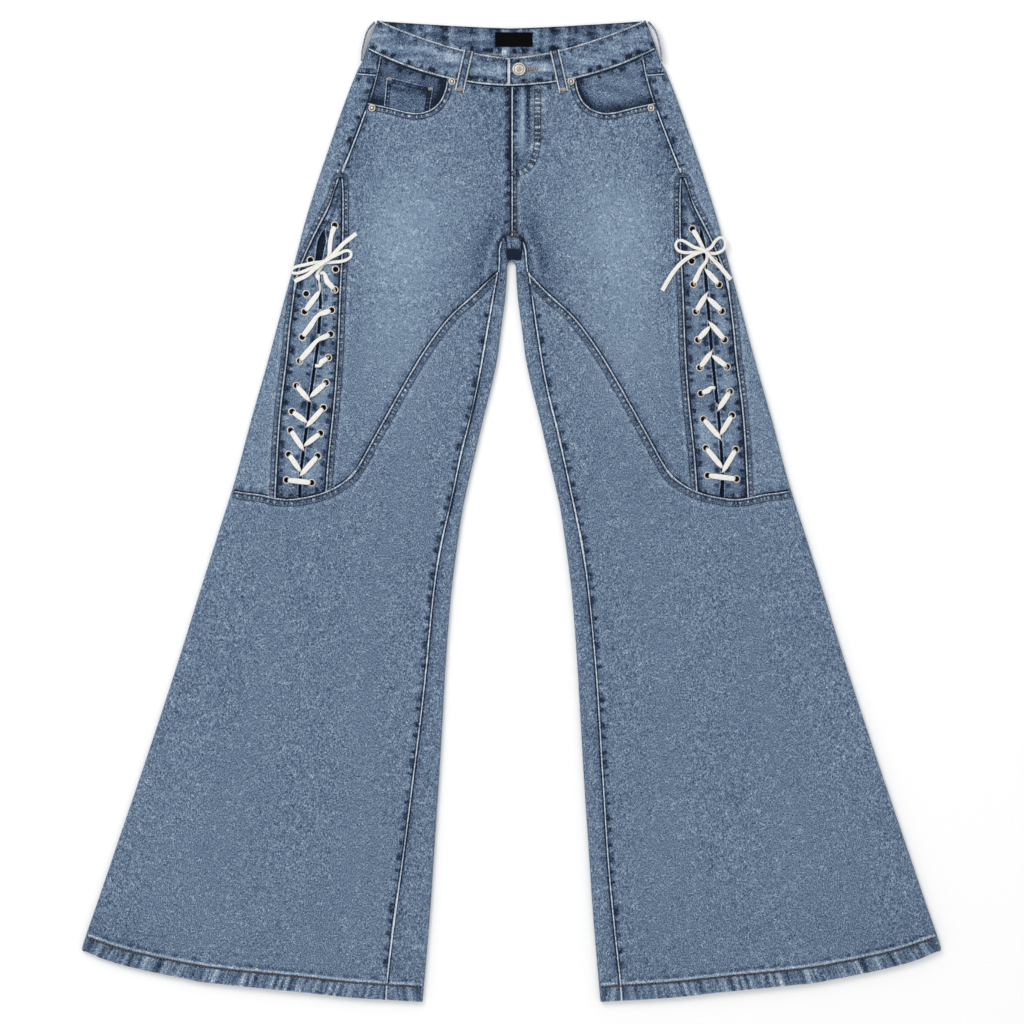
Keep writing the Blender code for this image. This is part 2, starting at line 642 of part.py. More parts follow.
def back_yoke(side, name):
    """Yoke under the waistband, showing as a narrow piece at the side of the front."""
    heights = ((510.4, BAND_SIDE_Y - 0.8), (500.0, 503.5), (YOKE_SIDE_Y, YOKE_SIDE_Y + 2.5))
    grid = []
    rows = []
    for y, fold_y in heights:
        distance = OUTER.distance_at(fold_y)
        centre, normal = outer_fold(distance)
        rows.append((SIDE.point_at(y), centre, normal))
    left = [centre for _, centre, _ in rows]
    top = [np.array([x, yoke_back_top(x)]) for x in np.linspace(left[0][0], 0, SEAT_COLUMNS + 1)]
    top[0] = left[0]
    bottom = yoke_seam_points(left[-1])
    right = [top[-1] + (bottom[-1] - top[-1]) * i / 2 for i in range(3)]
    plan = coons(left, right, top, bottom)
    for i, (seam, centre, normal) in enumerate(rows):
        row = [front_node(p) for p in [seam] + between(seam, centre, 3)]
        row += [fold_node(centre, normal, angle) for angle in (90, *FOLD_ANGLES, -90)]
        row += [back_node(p) for p in plan[i][1:]]
        grid.append(row)
    return wall(name, grid, side)


def front_leg(side, name):
    """Lower leg front, from the side seam under the outer fold to the inseam."""
    inseam_curve = Curve(INSEAM[side])
    start = inseam_curve.distance_at(KNEE_INSEAM_Y)
    right = [inseam_curve.at(d) for d in leg_distances(start, inseam_curve.length)]
    folds = [outer_fold(d) for d in leg_distances(OUTER_KNEE, OUTER.length)]
    left = [centre for centre, _ in folds]
    top = knee_points(side)
    top[0] = left[0]
    bottom = hem_points(left[-1], right[-1], len(top) - 1)
    plan = coons(left, right, top, bottom)
    grid = []
    for i, (centre, normal) in enumerate(folds):
        extra = hem_extra(i)
        row = [fold_node(centre, normal, angle, extra=extra) for angle in (-90, *reversed(FOLD_ANGLES), 90)]
        row += [front_node(p, extra) for p in plan[i][1:]]
        grid.append(row)
    return wall(name, grid, side)


def hem_points(start, end, count):
    """Hem nodes between two points near the hem curve, both kept."""
    ends = [float(np.interp(-p[0], -HEM_CURVE.dense[:, 0], HEM_CURVE.along)) for p in (start, end)]
    points = HEM_CURVE.spread(ends[0], ends[1], count)
    points[0] = start
    points[-1] = end
    return points


def back_leg(side, name):
    """Lower leg back: flat underneath, round the inner fold and up to the inseam."""
    folds = [outer_fold(d) for d in leg_distances(OUTER_KNEE, OUTER.length)]
    left = [centre for centre, _ in folds]
    inner_start = fork_distances()[-1]
    inner = [inner_fold(d) for d in leg_distances(inner_start, INNER.length)]
    right = [centre for centre, _ in inner]
    inseam_curve = Curve(INSEAM[side])
    start = inseam_curve.distance_at(KNEE_INSEAM_Y)
    inseam = [inseam_curve.at(d) for d in leg_distances(start, inseam_curve.length)]
    bottom = hem_points(left[-1], right[-1], SEAT_COLUMNS)
    plan = coons(left, right, back_knee_points(), bottom)
    grid = []
    for i, (centre, normal) in enumerate(inner):
        extra = hem_extra(i)
        row = [back_node(p, extra) for p in plan[i]]
        row += [fold_node(centre, normal, -angle, extra=extra) for angle in (*FOLD_ANGLES, -90)]
        row += [front_node(p, extra) for p in between(centre, inseam[i], 2)]
        row.append(front_node(inseam[i], extra))
        grid.append(row)
    return wall(name, grid, side)


def finer(points, split):
    """The same polyline with each run divided."""
    fine = [points[0]]
    for a, b in zip(points, points[1:]):
        fine += between(a, b, split) + [b]
    return fine


def lace_strip(side, strip, name):
    """One half of the gore, from its long seam to the slit, pierced for the eyelets."""
    table = GORE_FRONT if strip == "front" else GORE_BACK
    seam = finer(gore_points(table), STRIP_SPLIT)
    slit = SLIT[side]
    ys = [-row.y for row in slit]
    toward = -1 if strip == "front" else 1
    grid = []
    for i, point in enumerate(seam):
        share = i / (len(seam) - 1)
        y = slit[0].y + (slit[-1].y - slit[0].y) * share
        x = np.interp(-y, ys, [row.x for row in slit])
        width = np.interp(-y, ys, [row.width for row in slit])
        edge = np.array([x + toward * width / 2, y])
        if i == len(seam) - 1:
            edge[1] = float(np.interp(-edge[0], -KNEE.dense[:, 0], KNEE.dense[:, 1]))
        row = [point] + between(point, edge, 2) + [edge]
        grid.append([front_node(p) for p in row])
    obj = wall(name, grid, side, DARK_DENIM)
    pierce(obj, EYELETS[side, strip], side)
    return obj


def pierce(obj, eyelets, side):
    """Cuts the eyelet holes through a strip."""
    verts, faces = [], []
    for eyelet in eyelets:
        start = len(verts)
        for z in (FRONT_IN - 1, FRONT_OUT + 2):
            for k in range(HOLE_SIDES):
                turn = 2 * math.pi * (k + 0.5) / HOLE_SIDES
                verts.append((eyelet.x * side + EYELET_HOLE_R * math.cos(turn),
                              eyelet.y + EYELET_HOLE_R * math.sin(turn), z))
        low = list(range(start, start + HOLE_SIDES))
        high = [k + HOLE_SIDES for k in low]
        faces.append(low[::-1])
        faces.append(high)
        for k in range(HOLE_SIDES):
            n = (k + 1) % HOLE_SIDES
            faces.append([low[k], low[n], high[n], high[k]])
    cutter = link(obj.name + "_cutter", verts, faces, DARK_DENIM)
    cutter.hide_render = True
    cutter.display_type = "WIRE"
    cut = obj.modifiers.new("eyelet_holes", "BOOLEAN")
    cut.operation = "DIFFERENCE"
    cut.solver = "EXACT"
    cut.object = cutter


def pocket_facing(side, name):
    """Cloth seen in the mouth of the pocket, reaching under the front panel."""
    top = [np.array([x, band_bottom(x) - 0.6]) for x in np.linspace(48, 147.5, 7)]
    edge = Curve(FACING_EDGE)
    bottom = edge.spread(0, edge.length, 6)
    left = [top[0] + (bottom[0] - top[0]) * i / 4 for i in range(5)]
    right = [SIDE.point_at(y) for y in np.linspace(top[-1][1], FACING_EDGE[-1].y, 5)]
    right[0] = top[-1]
    bottom[-1] = right[-1]
    plan = coons(left, right, top, bottom)
    grid = [[np.array([[*p, FACING_IN], [*p, FACING_OUT]]) for p in row] for row in plan]
    return wall(name, grid, side, DARK_DENIM)


def coin_pocket(side, name):
    """Small pocket on the facing, shown down to the scoop's edge."""
    scoop = Curve(SCOOP)
    low = FACING_OUT + SEAM_GAP
    grid = []
    for i in range(7):
        share = i / 6
        x = COIN_BOTTOM_X[0] + (COIN_BOTTOM_X[1] - COIN_BOTTOM_X[0]) * share
        foot = np.array([x, float(np.interp(-x, -scoop.dense[:, 0], scoop.dense[:, 1])) + 2 * SEAM_GAP])
        head = np.array(COIN_TOP[0]) + (np.array(COIN_TOP[1]) - np.array(COIN_TOP[0])) * share
        column = [head, (head + foot) / 2, foot]
        grid.append([np.array([[*p, low], [*p, low + COIN_CLOTH]]) for p in column])
    return wall(name, grid, side)


def fly_shield(name):
    """Strip behind the front opening, under both panels."""
    grid = []
    for y in np.linspace(CENTRE_BAND_BOTTOM - 1, 366, 5):
        narrow = 30.0 if y > 380 else 20.0
        row = [np.array([x, y]) for x in np.linspace(-5, narrow, 4)]
        grid.append([np.array([[*p, FACING_IN], [*p, FACING_OUT]]) for p in row])
    return wall(name, grid, 1)


def overlap_lift(side, x):
    """The wearer's left end of the waistband lies over the right one."""
    if side < 0:
        return 0.0
    return OVERLAP_LIFT * (1 - smoothstep(UNDERLAP + 2, UNDERLAP + 17, x))


def waistband(name):
    """One strip: from the underlap, round the back, to the overlap with the button."""
    grid = []
    corner_top = OUTER.at(0)
    corner_bottom = OUTER.at(OUTER.distance_at(BAND_SIDE_Y))
    run = (corner_bottom - corner_top) / np.linalg.norm(corner_bottom - corner_top)
    normal = np.array([-run[1], run[0]])
    fold_top = corner_top - normal * FOLD_OUT
    fold_bottom = corner_bottom - normal * FOLD_OUT
    shares = (0, 0.5, 1)

    def column(top, bottom, make):
        return [make(top + (bottom - top) * s) for s in shares]

    def layer_node(low, high):
        return lambda p: np.array([[*p, low], [*p, high]])

    def front_column(side, x):
        """x is the half width at the top edge; the lower edge spreads with the flare."""
        flare = x / fold_top[0]
        top = np.array([x, band_top(x)])
        bottom_x = x + (fold_bottom[0] - fold_top[0]) * max(flare, 0)
        bottom = np.array([bottom_x, band_bottom(bottom_x)])
        if flare > 0.999:
            top, bottom = fold_top, fold_bottom
        lift = overlap_lift(side, x)
        node = layer_node(FRONT_OUT - BAND_CLOTH + lift, FRONT_OUT + lift)
        return [mirrored(n, side) for n in column(top, bottom, node)]

    def mirrored(node, side):
        flipped = node.copy()
        flipped[:, 0] *= side
        return flipped

    def fold_column(side, angle):
        def make(p):
            return mirrored(fold_node(p, normal, angle, wall=BAND_CLOTH), side)
        return column(fold_top, fold_bottom, make)

    fronts = np.linspace(1, 0, 11) * fold_top[0]
    right_half = [-UNDERLAP, -UNDERLAP / 2] + list(fronts[::-1])
    for x in right_half:
        grid.append(front_column(-1, x))
    for angle in (*FOLD_ANGLES, -90):
        grid.append(fold_column(-1, angle))
    for x in np.linspace(-fold_top[0], fold_top[0], 17)[1:-1]:
        share = abs(x) / fold_top[0]
        top = np.array([x, 541.0 + (fold_top[1] - 541.0) * share ** 1.3])
        bottom_x = x * fold_bottom[0] / fold_top[0]
        bottom = np.array([bottom_x, yoke_back_top(bottom_x)])
        grid.append(column(top, bottom, lambda p: np.array([[*p, BAND_CLOTH], [*p, 0.0]])))
    for angle in (-90, *reversed(FOLD_ANGLES)):
        grid.append(fold_column(1, angle))
    lifts = [x for x in fronts if x > 50] + [43.0, 38.0, 33.0, 28.0, 12.0, -OVERLAP]
    for x in lifts:
        grid.append(front_column(1, x))
    return wall(name, grid, 1)


def strap(name, spine, width_direction, width, thick, finish=DENIM):
    """A belt loop: a strap along a spine of 3-D points."""
    nodes = [(np.array(p, float), np.array(width_direction, float), width, thick) for p in spine]
    return tape(name, nodes, finish)


def belt_loop_front(side, name):
    """Loop sewn over the waistband, from its top edge to just below its seam."""
    top = np.array([48.0 * side, band_top(48) + 0.5])
    foot = np.array([58.5 * side, band_bottom(58) - 12.5])
    base = FRONT_OUT + SEAM_GAP + LOOP_CLOTH / 2
    rises = ((0, 0.3), (0.08, 0.5), (0.22, 1.8), (0.5, 2.3), (0.72, 1.8), (0.86, 0.4), (1, 0.1))
    spine = [(*(top + (foot - top) * share), base + rise) for share, rise in rises]
    return strap(name, spine, (1, 0, 0), LOOP_WIDTH, LOOP_CLOTH)


def belt_loop_side(side, name):
    """Loop at the side fold, standing off it as a bow seen from the edge."""
    rows = ((153.4, 547.7), (156.2, 544.9), (163.2, 539.4), (167.4, 531.5), (169.4, 521.5), (169.5, 512.5),
            (167.9, 504.5))
    spine = [(x * side, y, SIDE_LOOP_MID) for x, y in rows]
    return strap(name, spine, (0, 0, 1), SIDE_LOOP_WIDTH, LOOP_CLOTH)


def patch(name, corners, low, high, finish):
    """A flat rectangle of cloth between two heights."""
    a, b = corners
    grid = [[np.array([[x, y, low], [x, y, high]]) for x in (a.x, b.x)] for y in (b.y, a.y)]
    return wall(name, grid, 1, finish, inset=False)


# ---------------------------------------------------------------- lace

class LaceRoute:
    """Collects one lace as (point, width direction, width, thickness) nodes."""

    def __init__(self, side):
        self.side = side
        self.nodes = []

    def add(self, x, y, z, across, width):
        point = np.array([x * self.side, y, z])
        turned = np.array([across[0] * self.side, across[1], 0.0])
        if self.nodes and self.nodes[-1][1].dot(turned) < 0:
            turned = -turned
        self.nodes.append((point, turned, width, TAPE))

    def free_end(self, passes):
        for i, p in enumerate(passes):
            before = passes[max(i - 1, 0)]
            after = passes[min(i + 1, len(passes) - 1)]
            self.add(p.x, p.y, p.z, (-(after.y - before.y), after.x - before.x), p.width)

    def through(self, spot, arrive, leave, over, across):
        """Down through the cloth when it arrives on top, up through it otherwise."""
        lift = swell(spot[0], spot[1])
        steps = [(3.3, TAPE_OVER + lift), (0.8, TAPE_OVER - 0.2 + lift), (0, FRONT_OUT + lift - 0.1),
                 (0, FRONT_IN + lift + 0.1), (0.9, TAPE_UNDER + 0.25 + lift / 2), (3.6, TAPE_UNDER)]
        if not over:
            steps.reverse()
        for k, (reach, z) in enumerate(steps):
            heading = -arrive if k < 3 else leave
            width_way = across if across is not None else (-heading[1], heading[0])
            self.add(*(spot + heading * reach), z, width_way, TAPE_THROUGH_WIDTH)

    def cross_slit(self, spot, heading, over):
        lift = swell(spot[0], spot[1])
        steps = [(-3.5, TAPE_UNDER), (-0.9, TAPE_UNDER + 0.7 + lift / 2), (0.9, FRONT_OUT + 0.3 + lift),
                 (3.5, TAPE_OVER + lift)]
        if over:
            steps = [(-reach, z) for reach, z in reversed(steps)]
        for reach, z in steps:
            self.add(spot[0] + heading * reach, spot[1], z, (0, 1), TAPE_THROUGH_WIDTH)

    def arm(self, start, end):
        """The wide middle of a stretch on top of the cloth."""
        middle = (start + end) / 2
        along = end - start
        z = TAPE_OVER + swell(*middle)
        self.add(*middle, z, (-along[1], along[0]), TAPE_ARM_WIDTH)


def step_spot(side, step):
    kind, value = step
    if kind in ("front", "back"):
        return np.array(EYELETS[side, kind][value])
    if kind == "slit":
        rows = SLIT[side]
        return np.array([np.interp(-value, [-r.y for r in rows], [r.x for r in rows]), value])
    return np.array(value, float)


def unit(vector):
    return vector / np.linalg.norm(vector)


def lace_nodes(side):
    """All nodes of one lace, from the tip of one tail to the tip of the other."""
    route = LaceRoute(side)
    first, second = BOWS[side, "first"], BOWS[side, "second"]
    route.free_end(first)
    steps = LACING[side]
    spots = [np.array(first[-1][:2])] + [step_spot(side, s) for s in steps] + [np.array(second[-1][:2])]
    over = True
    for i, (kind, _) in enumerate(steps, 1):
        spot, before, after = spots[i], spots[i - 1], spots[i + 1]
        arrive, leave = unit(spot - before), unit(after - spot)
        if kind == "by":
            route.add(*spot, TAPE_UNDER, (-leave[1], leave[0]), TAPE_THROUGH_WIDTH)
            continue
        if over and i > 1:
            route.arm(before, spot)
        if kind == "slit":
            route.cross_slit(spot, float(np.sign(after[0] - before[0])), over)
        elif kind == "turn":
            toward = np.array([float(np.sign(spot[0] - before[0])), 0.0])
            route.through(spot, toward, -toward, over, (0, 1))
        else:
            route.through(spot, arrive, leave, over, None)
        over = not over
    route.free_end(second[::-1])
    return route.nodes


# ---------------------------------------------------------------- the garment

SIDES = ((-1, "right"), (1, "left"))


def build():
    for obj in list(bpy.data.objects):
        bpy.data.objects.remove(obj, do_unlink=True)
    waistband("waistband")
    patch("neck_label", LABEL, BAND_CLOTH + SEAM_GAP, BAND_CLOTH + SEAM_GAP + 0.6, LABEL_BLACK)
    fly_shield("fly_shield")
    for side, word in SIDES:
        front_panel(side, f"front_panel_{word}")
        seat_panel(side, f"back_panel_{word}")
        back_yoke(side, f"back_yoke_{word}")
        front_leg(side, f"front_leg_{word}")
        back_leg(side, f"back_leg_{word}")
        lace_strip(side, "front", f"lace_strip_front_{word}")
        lace_strip(side, "back", f"lace_strip_back_{word}")
        pocket_facing(side, f"pocket_facing_{word}")
        belt_loop_front(side, f"belt_loop_front_{word}")
        belt_loop_side(side, f"belt_loop_side_{word}")
        tape(f"lace_{word}", lace_nodes(side), TAPE_WHITE)
        for k, spot in enumerate(RIVETS, 1):
            place = (spot.x * side, spot.y)
            lathe(f"rivet_{word}_{k}", place, FRONT_OUT + SEAM_GAP, RIVET_PROFILE, 12, METAL)
    coin_pocket(-1, "coin_pocket")
    button_floor = FRONT_OUT + OVERLAP_LIFT + SEAM_GAP
    lathe("waist_button", BUTTON, button_floor, BUTTON_PROFILE, 24, METAL)


build()
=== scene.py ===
"""Looks of wide leg jeans with laced side gores, laid flat on their back.

Lengths in the tables and functions are millimetres and become metres when a mesh is
made. +X is the wearer's left, +Y runs up to the waist, +Z faces up from the surface. A
half of the garment is worked out for x > 0 and mirrored by its side, -1 or 1.
"""

from __future__ import annotations

import enum
import functools
import logging
import math
from collections import namedtuple
from collections.abc import Callable, Iterable, Sequence
from dataclasses import dataclass, field

import bmesh
import bpy
import numpy as np
from mathutils import Matrix

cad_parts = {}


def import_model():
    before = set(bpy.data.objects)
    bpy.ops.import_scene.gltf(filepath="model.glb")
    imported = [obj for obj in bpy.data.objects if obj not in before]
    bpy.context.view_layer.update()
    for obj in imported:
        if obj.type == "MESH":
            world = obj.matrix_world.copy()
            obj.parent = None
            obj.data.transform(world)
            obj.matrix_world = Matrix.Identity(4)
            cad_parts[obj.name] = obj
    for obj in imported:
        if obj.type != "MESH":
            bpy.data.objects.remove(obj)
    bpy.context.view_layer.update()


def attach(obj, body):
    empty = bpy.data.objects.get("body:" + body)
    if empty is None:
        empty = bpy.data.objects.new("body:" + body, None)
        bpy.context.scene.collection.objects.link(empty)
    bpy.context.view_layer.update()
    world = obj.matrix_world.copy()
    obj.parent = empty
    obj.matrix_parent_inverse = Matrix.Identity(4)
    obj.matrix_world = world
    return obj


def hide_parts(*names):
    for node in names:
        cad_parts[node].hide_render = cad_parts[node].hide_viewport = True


LOG = logging.getLogger("jeans")
MM = 0.001
Array = np.ndarray
Object = bpy.types.Object
Material = bpy.types.Material
Socket = bpy.types.NodeSocket
Colour = tuple[float, float, float]

# ---- cloth and layers ----
CLOTH = 1.4
HOLLOW = 2.2
FRONT_IN = CLOTH + HOLLOW
FRONT_OUT = FRONT_IN + CLOTH
FOLD_OUT = FRONT_OUT / 2
SEAM_GAP = 0.3
INSET = 0.1
LEG_SWELL = 0.8
BAND_CLOTH = 2.0
HEM_DEPTH = 17.5
HEM_EXTRA = 0.5

# ---- centre front and band ----
CENTRE_BAND_TOP = 507.5
CENTRE_BAND_BOTTOM = 476.0
CROTCH_Y = 309.0
UNDERLAP = 26.0
OVERLAP = 3.0
OVERLAP_LIFT = BAND_CLOTH + SEAM_GAP
GORE_APEX_Y = 375.2
GORE_TOP_Y = 371.0
YOKE_SIDE_Y = 487.0
BAND_SIDE_Y = 518.0
KNEE_INSEAM_Y = 267.7

Point = namedtuple("Point", "x y")
SlitRow = namedtuple("SlitRow", "y x width")
Pass = namedtuple("Pass", "x y z width")
Fade = namedtuple("Fade", "x y reach_x reach_y amount")
Crease = namedtuple("Crease", "x0 y0 x1 y1 width height")


def records(kind: type, *values: Sequence[float]) -> list:
    """One named row for each tuple of values."""
    return [kind(*v) for v in values]


SIDES = ((-1, "right"), (1, "left"))

OUTER_EDGE = records(Point,
    (150.1, 549.9), (157.4, 541), (162.4, 518), (166.5, 505), (172.5, 494), (186, 460), (201.6, 415.5),
    (216.7, 371), (230.7, 326), (242.5, 281), (254.8, 236), (272.7, 169), (291.8, 102), (309.7, 35),
    (331, -32.5), (352.2, -100), (373, -167), (394.8, -234), (417.2, -301), (440.2, -368.5),
    (463.1, -436), (480.2, -486), (479.4, -493.9))
INNER_EDGE = records(Point,
    (0, 279.5), (2.9, 278.4), (4.6, 275), (5.1, 269.5), (5.7, 255), (7.3, 236), (11.8, 203), (16.2, 169),
    (23.5, 135.5), (31.9, 102), (39.8, 68), (47.6, 35), (54.9, 1), (59.9, -32.5), (64.4, -66), (68.3, -100),
    (73.4, -167), (77.3, -234), (81.2, -301), (85.7, -368.5), (90.2, -436), (94.6, -492), (99.7, -549.8))
INSEAM = {
    -1: records(Point,
        (0, 309), (7.2, 308.2), (12.4, 302), (14.4, 290), (15.1, 267.7), (25.2, 210.6), (40.9, 122), (56, 64),
        (66, 13), (79.3, -42.5), (87.8, -104), (97.9, -206), (109.5, -300), (121, -391), (130.9, -457),
        (138.3, -523), (140, -547.3)),
    1: records(Point,
        (0, 309), (8.2, 308.2), (14.2, 302), (16.6, 290), (18.7, 267.7), (26.6, 210.6), (37.5, 145), (51, 90),
        (65.5, 23), (78.5, -38), (86.5, -100), (94.5, -186), (101, -290), (107.5, -391), (114.8, -470),
        (121, -526), (122.7, -548.3))}
KNEE_SEAM = records(Point,
    (310.5, 23), (300.2, 20.9), (283.4, 19), (266, 15.1), (248.6, 13.4), (229.6, 15.9), (212.8, 20.2),
    (198.2, 26.3), (185.9, 34.5), (174.7, 45.7), (147.8, 93.6), (121.5, 140.4), (102.5, 172.5),
    (83.4, 200.5), (65.5, 222), (45, 240), (30, 255), (22, 263))
HEM = records(Point,
    (479.4, -493.9), (436.8, -508), (385, -519.7), (333.8, -528.6), (282.2, -534.2), (236.3, -538.7),
    (189.3, -544), (142.2, -547.5), (99.7, -549.9))
SIDE_SEAM = records(Point,
    (146.7, 513.5), (152, 487), (160.7, 457), (171.4, 428), (181.4, 402), (191.4, GORE_APEX_Y))
GORE_FRONT = records(Point,
    (190.4, GORE_TOP_Y), (189.4, 348), (189.8, 303.5), (191.4, 269), (193.1, 234), (195.1, 180), (198.2, 134),
    (201.2, 101), (205.1, 66), (208.3, 21.8))
GORE_BACK = records(Point,
    (193.8, GORE_TOP_Y), (200.8, 348), (211.8, 326), (222.9, 303.5), (232.8, 281), (240.8, 259), (243.8, 236),
    (248.1, 203), (251.2, 169), (257, 124), (260.8, 79.5), (264.2, 15))
SLIT = {
    -1: records(SlitRow,
        (371, 192.1, 0), (348, 194.6, 0), (330, 201.5, 0), (317, 209, 0), (312, 210.8, 3), (303.5, 212.2, 9.5),
        (292, 214.5, 8.5), (279, 216.2, 7.5), (264, 216.2, 5), (248, 214.6, 3.4), (234, 213.9, 3.2),
        (207, 215.3, 3.2), (183, 217.3, 3.2), (125, 225.7, 3.2), (97, 229, 3.2), (71, 232.4, 3.2),
        (43, 236.2, 3.2), (16, 237.3, 3.2)),
    1: records(SlitRow,
        (371, 192.1, 0), (348, 195.5, 0), (330, 205, 0), (318, 211.5, 0), (312, 212.6, 3), (300, 213.4, 7),
        (282, 216.2, 5.5), (264, 217.4, 3.6), (242, 219, 3.2), (207, 222, 3.2), (179, 224.2, 3.2),
        (138, 228.5, 3.2), (113, 231.3, 3.2), (83, 234, 3.2), (46, 236.3, 3.2), (32, 236.3, 3.4),
        (16, 235.1, 5.6))}
EYELETS = {
    (-1, "front"): records(Point,
        (223.7, 31.7), (216.9, 61.6), (213.9, 87.1), (210.4, 115.7), (207.6, 143.7), (205, 171.7), (202.5, 198),
        (201.4, 224.9), (197.9, 247.7), (196.9, 270.6), (197.9, 320)),
    (-1, "back"): records(Point,
        (251.7, 34.7), (249.3, 63.4), (247.2, 90.4), (245.6, 111.4), (240.8, 140.3), (237.3, 168),
        (234.2, 194.7), (231.6, 223.2), (229.9, 243.2), (225.2, 281)),
    (1, "front"): records(Point,
        (219.7, 39.8), (217.7, 70.6), (214.9, 102.8), (212.2, 131.7), (210.9, 160.6), (208.7, 191.7),
        (206.5, 223.2), (203.7, 254), (201.9, 279.8), (202.6, 315.8)),
    (1, "back"): records(Point,
        (252, 35.8), (251, 68.9), (247, 107.2), (244.7, 133.7), (241.4, 161.5), (238.6, 191.7),
        (235.6, 223.8), (232.3, 253.5), (226.5, 280.5))}
EYELET_HOLE_R = 2.5

SCOOP = records(Point,
    (160.7, 457), (139.4, 452.5), (110.3, 445.8), (92, 449), (80.5, 458.5), (74.5, 471), (72, 487))
FACING_EDGE = records(Point, (48, 474), (60, 450), (85, 432), (112, 427), (142, 431), (167, 438))
FACING_IN = CLOTH + 0.45
FACING_OUT = FACING_IN + CLOTH
COIN_CLOTH = 1.1
COIN_TOP = (Point(140.1, 487), Point(87.4, 474))
COIN_BOTTOM_X = (143.0, 91.3)

# How far a front belt loop rises over its base, at shares of its length.
LOOP_RISES = ((0, 0.3), (0.08, 0.5), (0.22, 1.8), (0.5, 2.3), (0.72, 1.8), (0.86, 0.4), (1, 0.1))
SIDE_LOOP = ((153.4, 547.7), (155.9, 545.0), (160.4, 539.4), (163.6, 531.5), (166.0, 521.5), (167.6, 512.5),
             (168.2, 504.5))
# Rows of the waistband, as shares of the way down it.
BAND_SHARES = np.array([0, 0.03, 0.07, 0.12, 0.18, 0.26, 0.35, 0.45, 0.55, 0.65, 0.74, 0.82, 0.88, 0.93, 0.97,
                        1.0])
LOOP_WIDTH = 10.5
LOOP_CLOTH = 1.5
SIDE_LOOP_WIDTH = 8.0
SIDE_LOOP_MID = 4.2
BUTTON = Point(8.4, 494.1)
RIVETS = (Point(66.6, 480.8), Point(156.2, 451.2))
LABEL = (Point(-18.5, 520.0), Point(23.6, 536.5))

TAPE = 0.8
TAPE_OVER = FRONT_OUT + 1.1
TAPE_UNDER = FRONT_OUT / 2
TAPE_THROUGH_WIDTH = 3.4
TAPE_ARM_WIDTH = 6.0
BOWS = {
    (-1, "first"): records(Pass,
        (173.6, 310.6, 6.2, 4.6), (180.9, 304.9, 6.3, 4.6), (188.2, 299, 7, 4.6), (195.4, 291.2, 8.1, 4.6),
        (202.2, 283.9, 9, 4.2), (208.9, 278.9, 9.2, 3.6), (215.6, 275.5, 8.9, 3.6), (222.3, 272.4, 8.2, 3.6),
        (232.7, 268.1, 6.9, 3.6), (240.2, 266.1, 6.4, 3.2), (244.9, 266.6, 6.4, 3.0), (246.3, 269.2, 6.4, 3.0),
        (243.6, 272.2, 6.4, 3.2), (232.7, 275.2, 6.6, 3.6), (222, 277.6, 7, 3.6), (208.9, 280, 7, 3.6),
        (204.4, 285, 6.8, 4.2), (203.3, 296.8, 6.4, 5), (201.4, 309.1, 6.2, 4.6)),
    (-1, "second"): records(Pass,
        (243, 256.9, 6.2, 4.6), (237.3, 259.8, 6.3, 4.6), (231.6, 262.2, 6.8, 4.4), (226.2, 265.4, 8.2, 4.2),
        (221.3, 269.5, 9.6, 4), (215.6, 273.8, 10.2, 3.6), (208.9, 278.9, 10.3, 3.6), (202.2, 283, 10.2, 3.6),
        (197.3, 285.6, 9.6, 3.6), (191.6, 288.6, 7.7, 3.6), (184.8, 291.4, 6.5, 3.2), (180.3, 289.9, 6.4, 3),
        (179.6, 285.6, 6.4, 3), (183.7, 281.6, 6.4, 3.2), (190.5, 279.4, 6.7, 3.6), (202.2, 278.2, 7.8, 3.6),
        (208.9, 277.3, 8.1, 3.6), (213.6, 272, 7.4, 3.4), (217.6, 265, 6.4, 3.4)),
    (1, "first"): records(Pass,
        (168.8, 246.6, 6.2, 4.8), (174.2, 256.5, 6.2, 4.8), (180.2, 266, 6.2, 4.8), (185.9, 273.3, 6.3, 4.6),
        (191.7, 279.1, 6.7, 4.4), (197.7, 283.4, 7.6, 4.2), (203.2, 286.4, 8.5, 4), (210, 289.2, 9.1, 3.6),
        (216.7, 291.2, 9.2, 3.6), (222.5, 294.2, 8.6, 3.6), (228.3, 302.4, 6.8, 3.4), (231.8, 305.4, 6.4, 3.2),
        (235.3, 306, 6.4, 3), (238.7, 303, 6.4, 3), (239.3, 298.1, 6.4, 3), (236.9, 292.5, 6.4, 3.2),
        (229.4, 288.5, 6.6, 3.4), (223.7, 288.3, 6.8, 3.6), (216.7, 291, 7, 3.6), (213.4, 296.2, 6.8, 4),
        (208.9, 305.2, 6.4, 4.6)),
    (1, "second"): records(Pass,
        (245.4, 259.2, 6.2, 4.8), (239.1, 266.6, 6.3, 4.8), (232.8, 274.1, 6.8, 4.6), (227.4, 279.1, 8, 4.2),
        (223.7, 282.7, 9.2, 3.8), (216.7, 290.1, 10.3, 3.6), (210, 293.2, 9.8, 3.6), (204.3, 295, 8.6, 3.6),
        (198.8, 298.5, 7.2, 3.6), (194, 301.5, 6.5, 3.4), (189.4, 303.1, 6.4, 3), (185.1, 301.3, 6.4, 3),
        (183.8, 296.8, 6.4, 3), (186.3, 291.9, 6.4, 3.2), (191.7, 289.6, 6.4, 3.4), (197.7, 289.1, 6.8, 3.6),
        (204.3, 289.4, 7.3, 3.6), (216.7, 290.3, 8.1, 3.6), (219, 285.6, 7.6, 3.4), (217.8, 279.5, 6.5, 3.6),
        (212.6, 272.5, 6.2, 4))}
